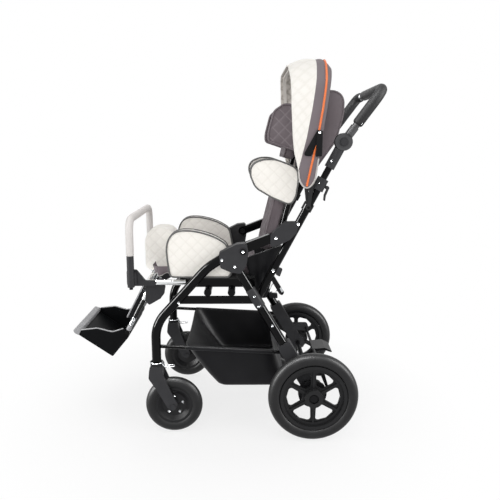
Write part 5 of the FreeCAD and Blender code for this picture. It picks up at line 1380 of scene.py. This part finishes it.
# %% Floor
FLOOR_REACH = 6.0
floor_shape = bmesh.new()
bmesh.ops.create_grid(floor_shape, x_segments=4, y_segments=4, size=FLOOR_REACH)
floor_look = {"Base Color": linear("#f2f2f2"), "Roughness": 0.9}
floor_finish, tree, shader, place = new_finish("studio_floor", floor_look)
away = add(tree, "ShaderNodeVectorMath", None, {0: place}, operation="LENGTH")
fade_from = {"From Min": 0.4, "From Max": 0.85, "To Min": 0.76}
fade = add(tree, "ShaderNodeMapRange", fade_from, {"Value": away.outputs["Value"]})
glow = add(tree, "ShaderNodeEmission", {"Color": linear("#ffffff"), "Strength": 1.0})
blend = add(tree, "ShaderNodeMixShader", None, {0: fade.outputs[0], 1: shader.outputs[0], 2: glow.outputs[0]})
tree.links.new(blend.outputs[0], tree.nodes["Material Output"].inputs["Surface"])
floor = as_object("studio_floor", floor_shape, floor_finish)
print("floor reaches", FLOOR_REACH, "m each way")

# %% [markdown]
# White surroundings stand for the studio. As a light they are dimmed, so that forms keep their shade, but
# they stay white to the camera and in reflections. Large lamps add soft shadows and highlights on the tubes.

# %% World and lamps
SKY_LIGHT = 0.55
SKY_SEEN = 1.0
world = bpy.data.worlds.new("studio")
bpy.context.scene.world = world
world.use_nodes = True
tree = world.node_tree
rays = add(tree, "ShaderNodeLightPath")
seen = rays.outputs["Is Camera Ray"]
for kind in ("Is Glossy Ray", "Is Transmission Ray"):
    seen = add(tree, "ShaderNodeMath", None, {0: seen, 1: rays.outputs[kind]}, operation="MAXIMUM").outputs[0]
strength = add(tree, "ShaderNodeMapRange", {"To Min": SKY_LIGHT, "To Max": SKY_SEEN}, {"Value": seen})
background = tree.nodes["Background"]
background.inputs["Color"].default_value = linear("#ffffff")
tree.links.new(strength.outputs[0], background.inputs["Strength"])

# The three gleams only mirror in tubes and mouldings; the key and the fill only light
LAMPS = (
    ("key", (-0.9, -3.2, 1.7), (0.0, 0.0, 0.6), (1.8, 1.8), 38.0, "light"),
    ("fill", (2.4, -2.0, 1.8), (0.0, 0.0, 0.6), (2.0, 2.0), 15.0, "light"),
    ("top", (0.0, 0.4, 3.2), (0.0, 0.0, 0.4), (2.6, 2.6), 14.0, "both"),
    ("rear", (0.4, 2.8, 2.2), (0.0, 0.0, 0.6), (2.0, 2.0), 14.0, "both"),
    ("gleam_left", (-2.6, -0.9, 1.4), (0.0, 0.0, 0.6), (0.5, 2.4), 300.0, "mirror"),
    ("gleam_right", (2.6, -0.9, 1.7), (0.0, 0.0, 0.6), (0.5, 2.4), 240.0, "mirror"),
    ("gleam_top", (-0.6, -0.9, 3.0), (0.0, 0.0, 0.5), (2.6, 0.5), 260.0, "mirror"),
)
for name, place, target, size, power, use in LAMPS:
    lamp = bpy.data.lights.new(name, "AREA")
    lamp.shape = "RECTANGLE"
    lamp.size, lamp.size_y = size
    lamp.energy = power
    stand = bpy.data.objects.new(name, lamp)
    stand.location = place
    stand.visible_diffuse = use != "mirror"
    stand.visible_glossy = use != "light"
    stand.rotation_euler = (Vector(target) - Vector(place)).to_track_quat("-Z", "Y").to_euler()
    bpy.context.scene.collection.objects.link(stand)
print("lamps", len(LAMPS))

# %% [markdown]
# The camera was fitted to the wheels and the upright edges of the object. Its turn is written as three small
# angles from a level look along the width.

# %% Camera
YAW = 0.016
PITCH = 0.185
ROLL = 0.002
CAMERA_AT = (0.04935, -1.93978, 0.9318)
SENSOR = 36.0
FOCAL = 39.74
lens = bpy.data.cameras.new("camera")
lens.sensor_width = SENSOR
lens.lens = FOCAL
camera = bpy.data.objects.new("camera", lens)
look = Vector((math.sin(YAW) * math.cos(PITCH), math.cos(YAW) * math.cos(PITCH), -math.sin(PITCH)))
camera.location = CAMERA_AT
turn = look.to_track_quat("-Z", "Y").to_matrix() @ Matrix.Rotation(ROLL, 3, "Z")
camera.rotation_euler = turn.to_euler()
bpy.context.scene.collection.objects.link(camera)
bpy.context.scene.camera = camera
bpy.context.scene.view_settings.view_transform = "Standard"
print("camera at", CAMERA_AT)
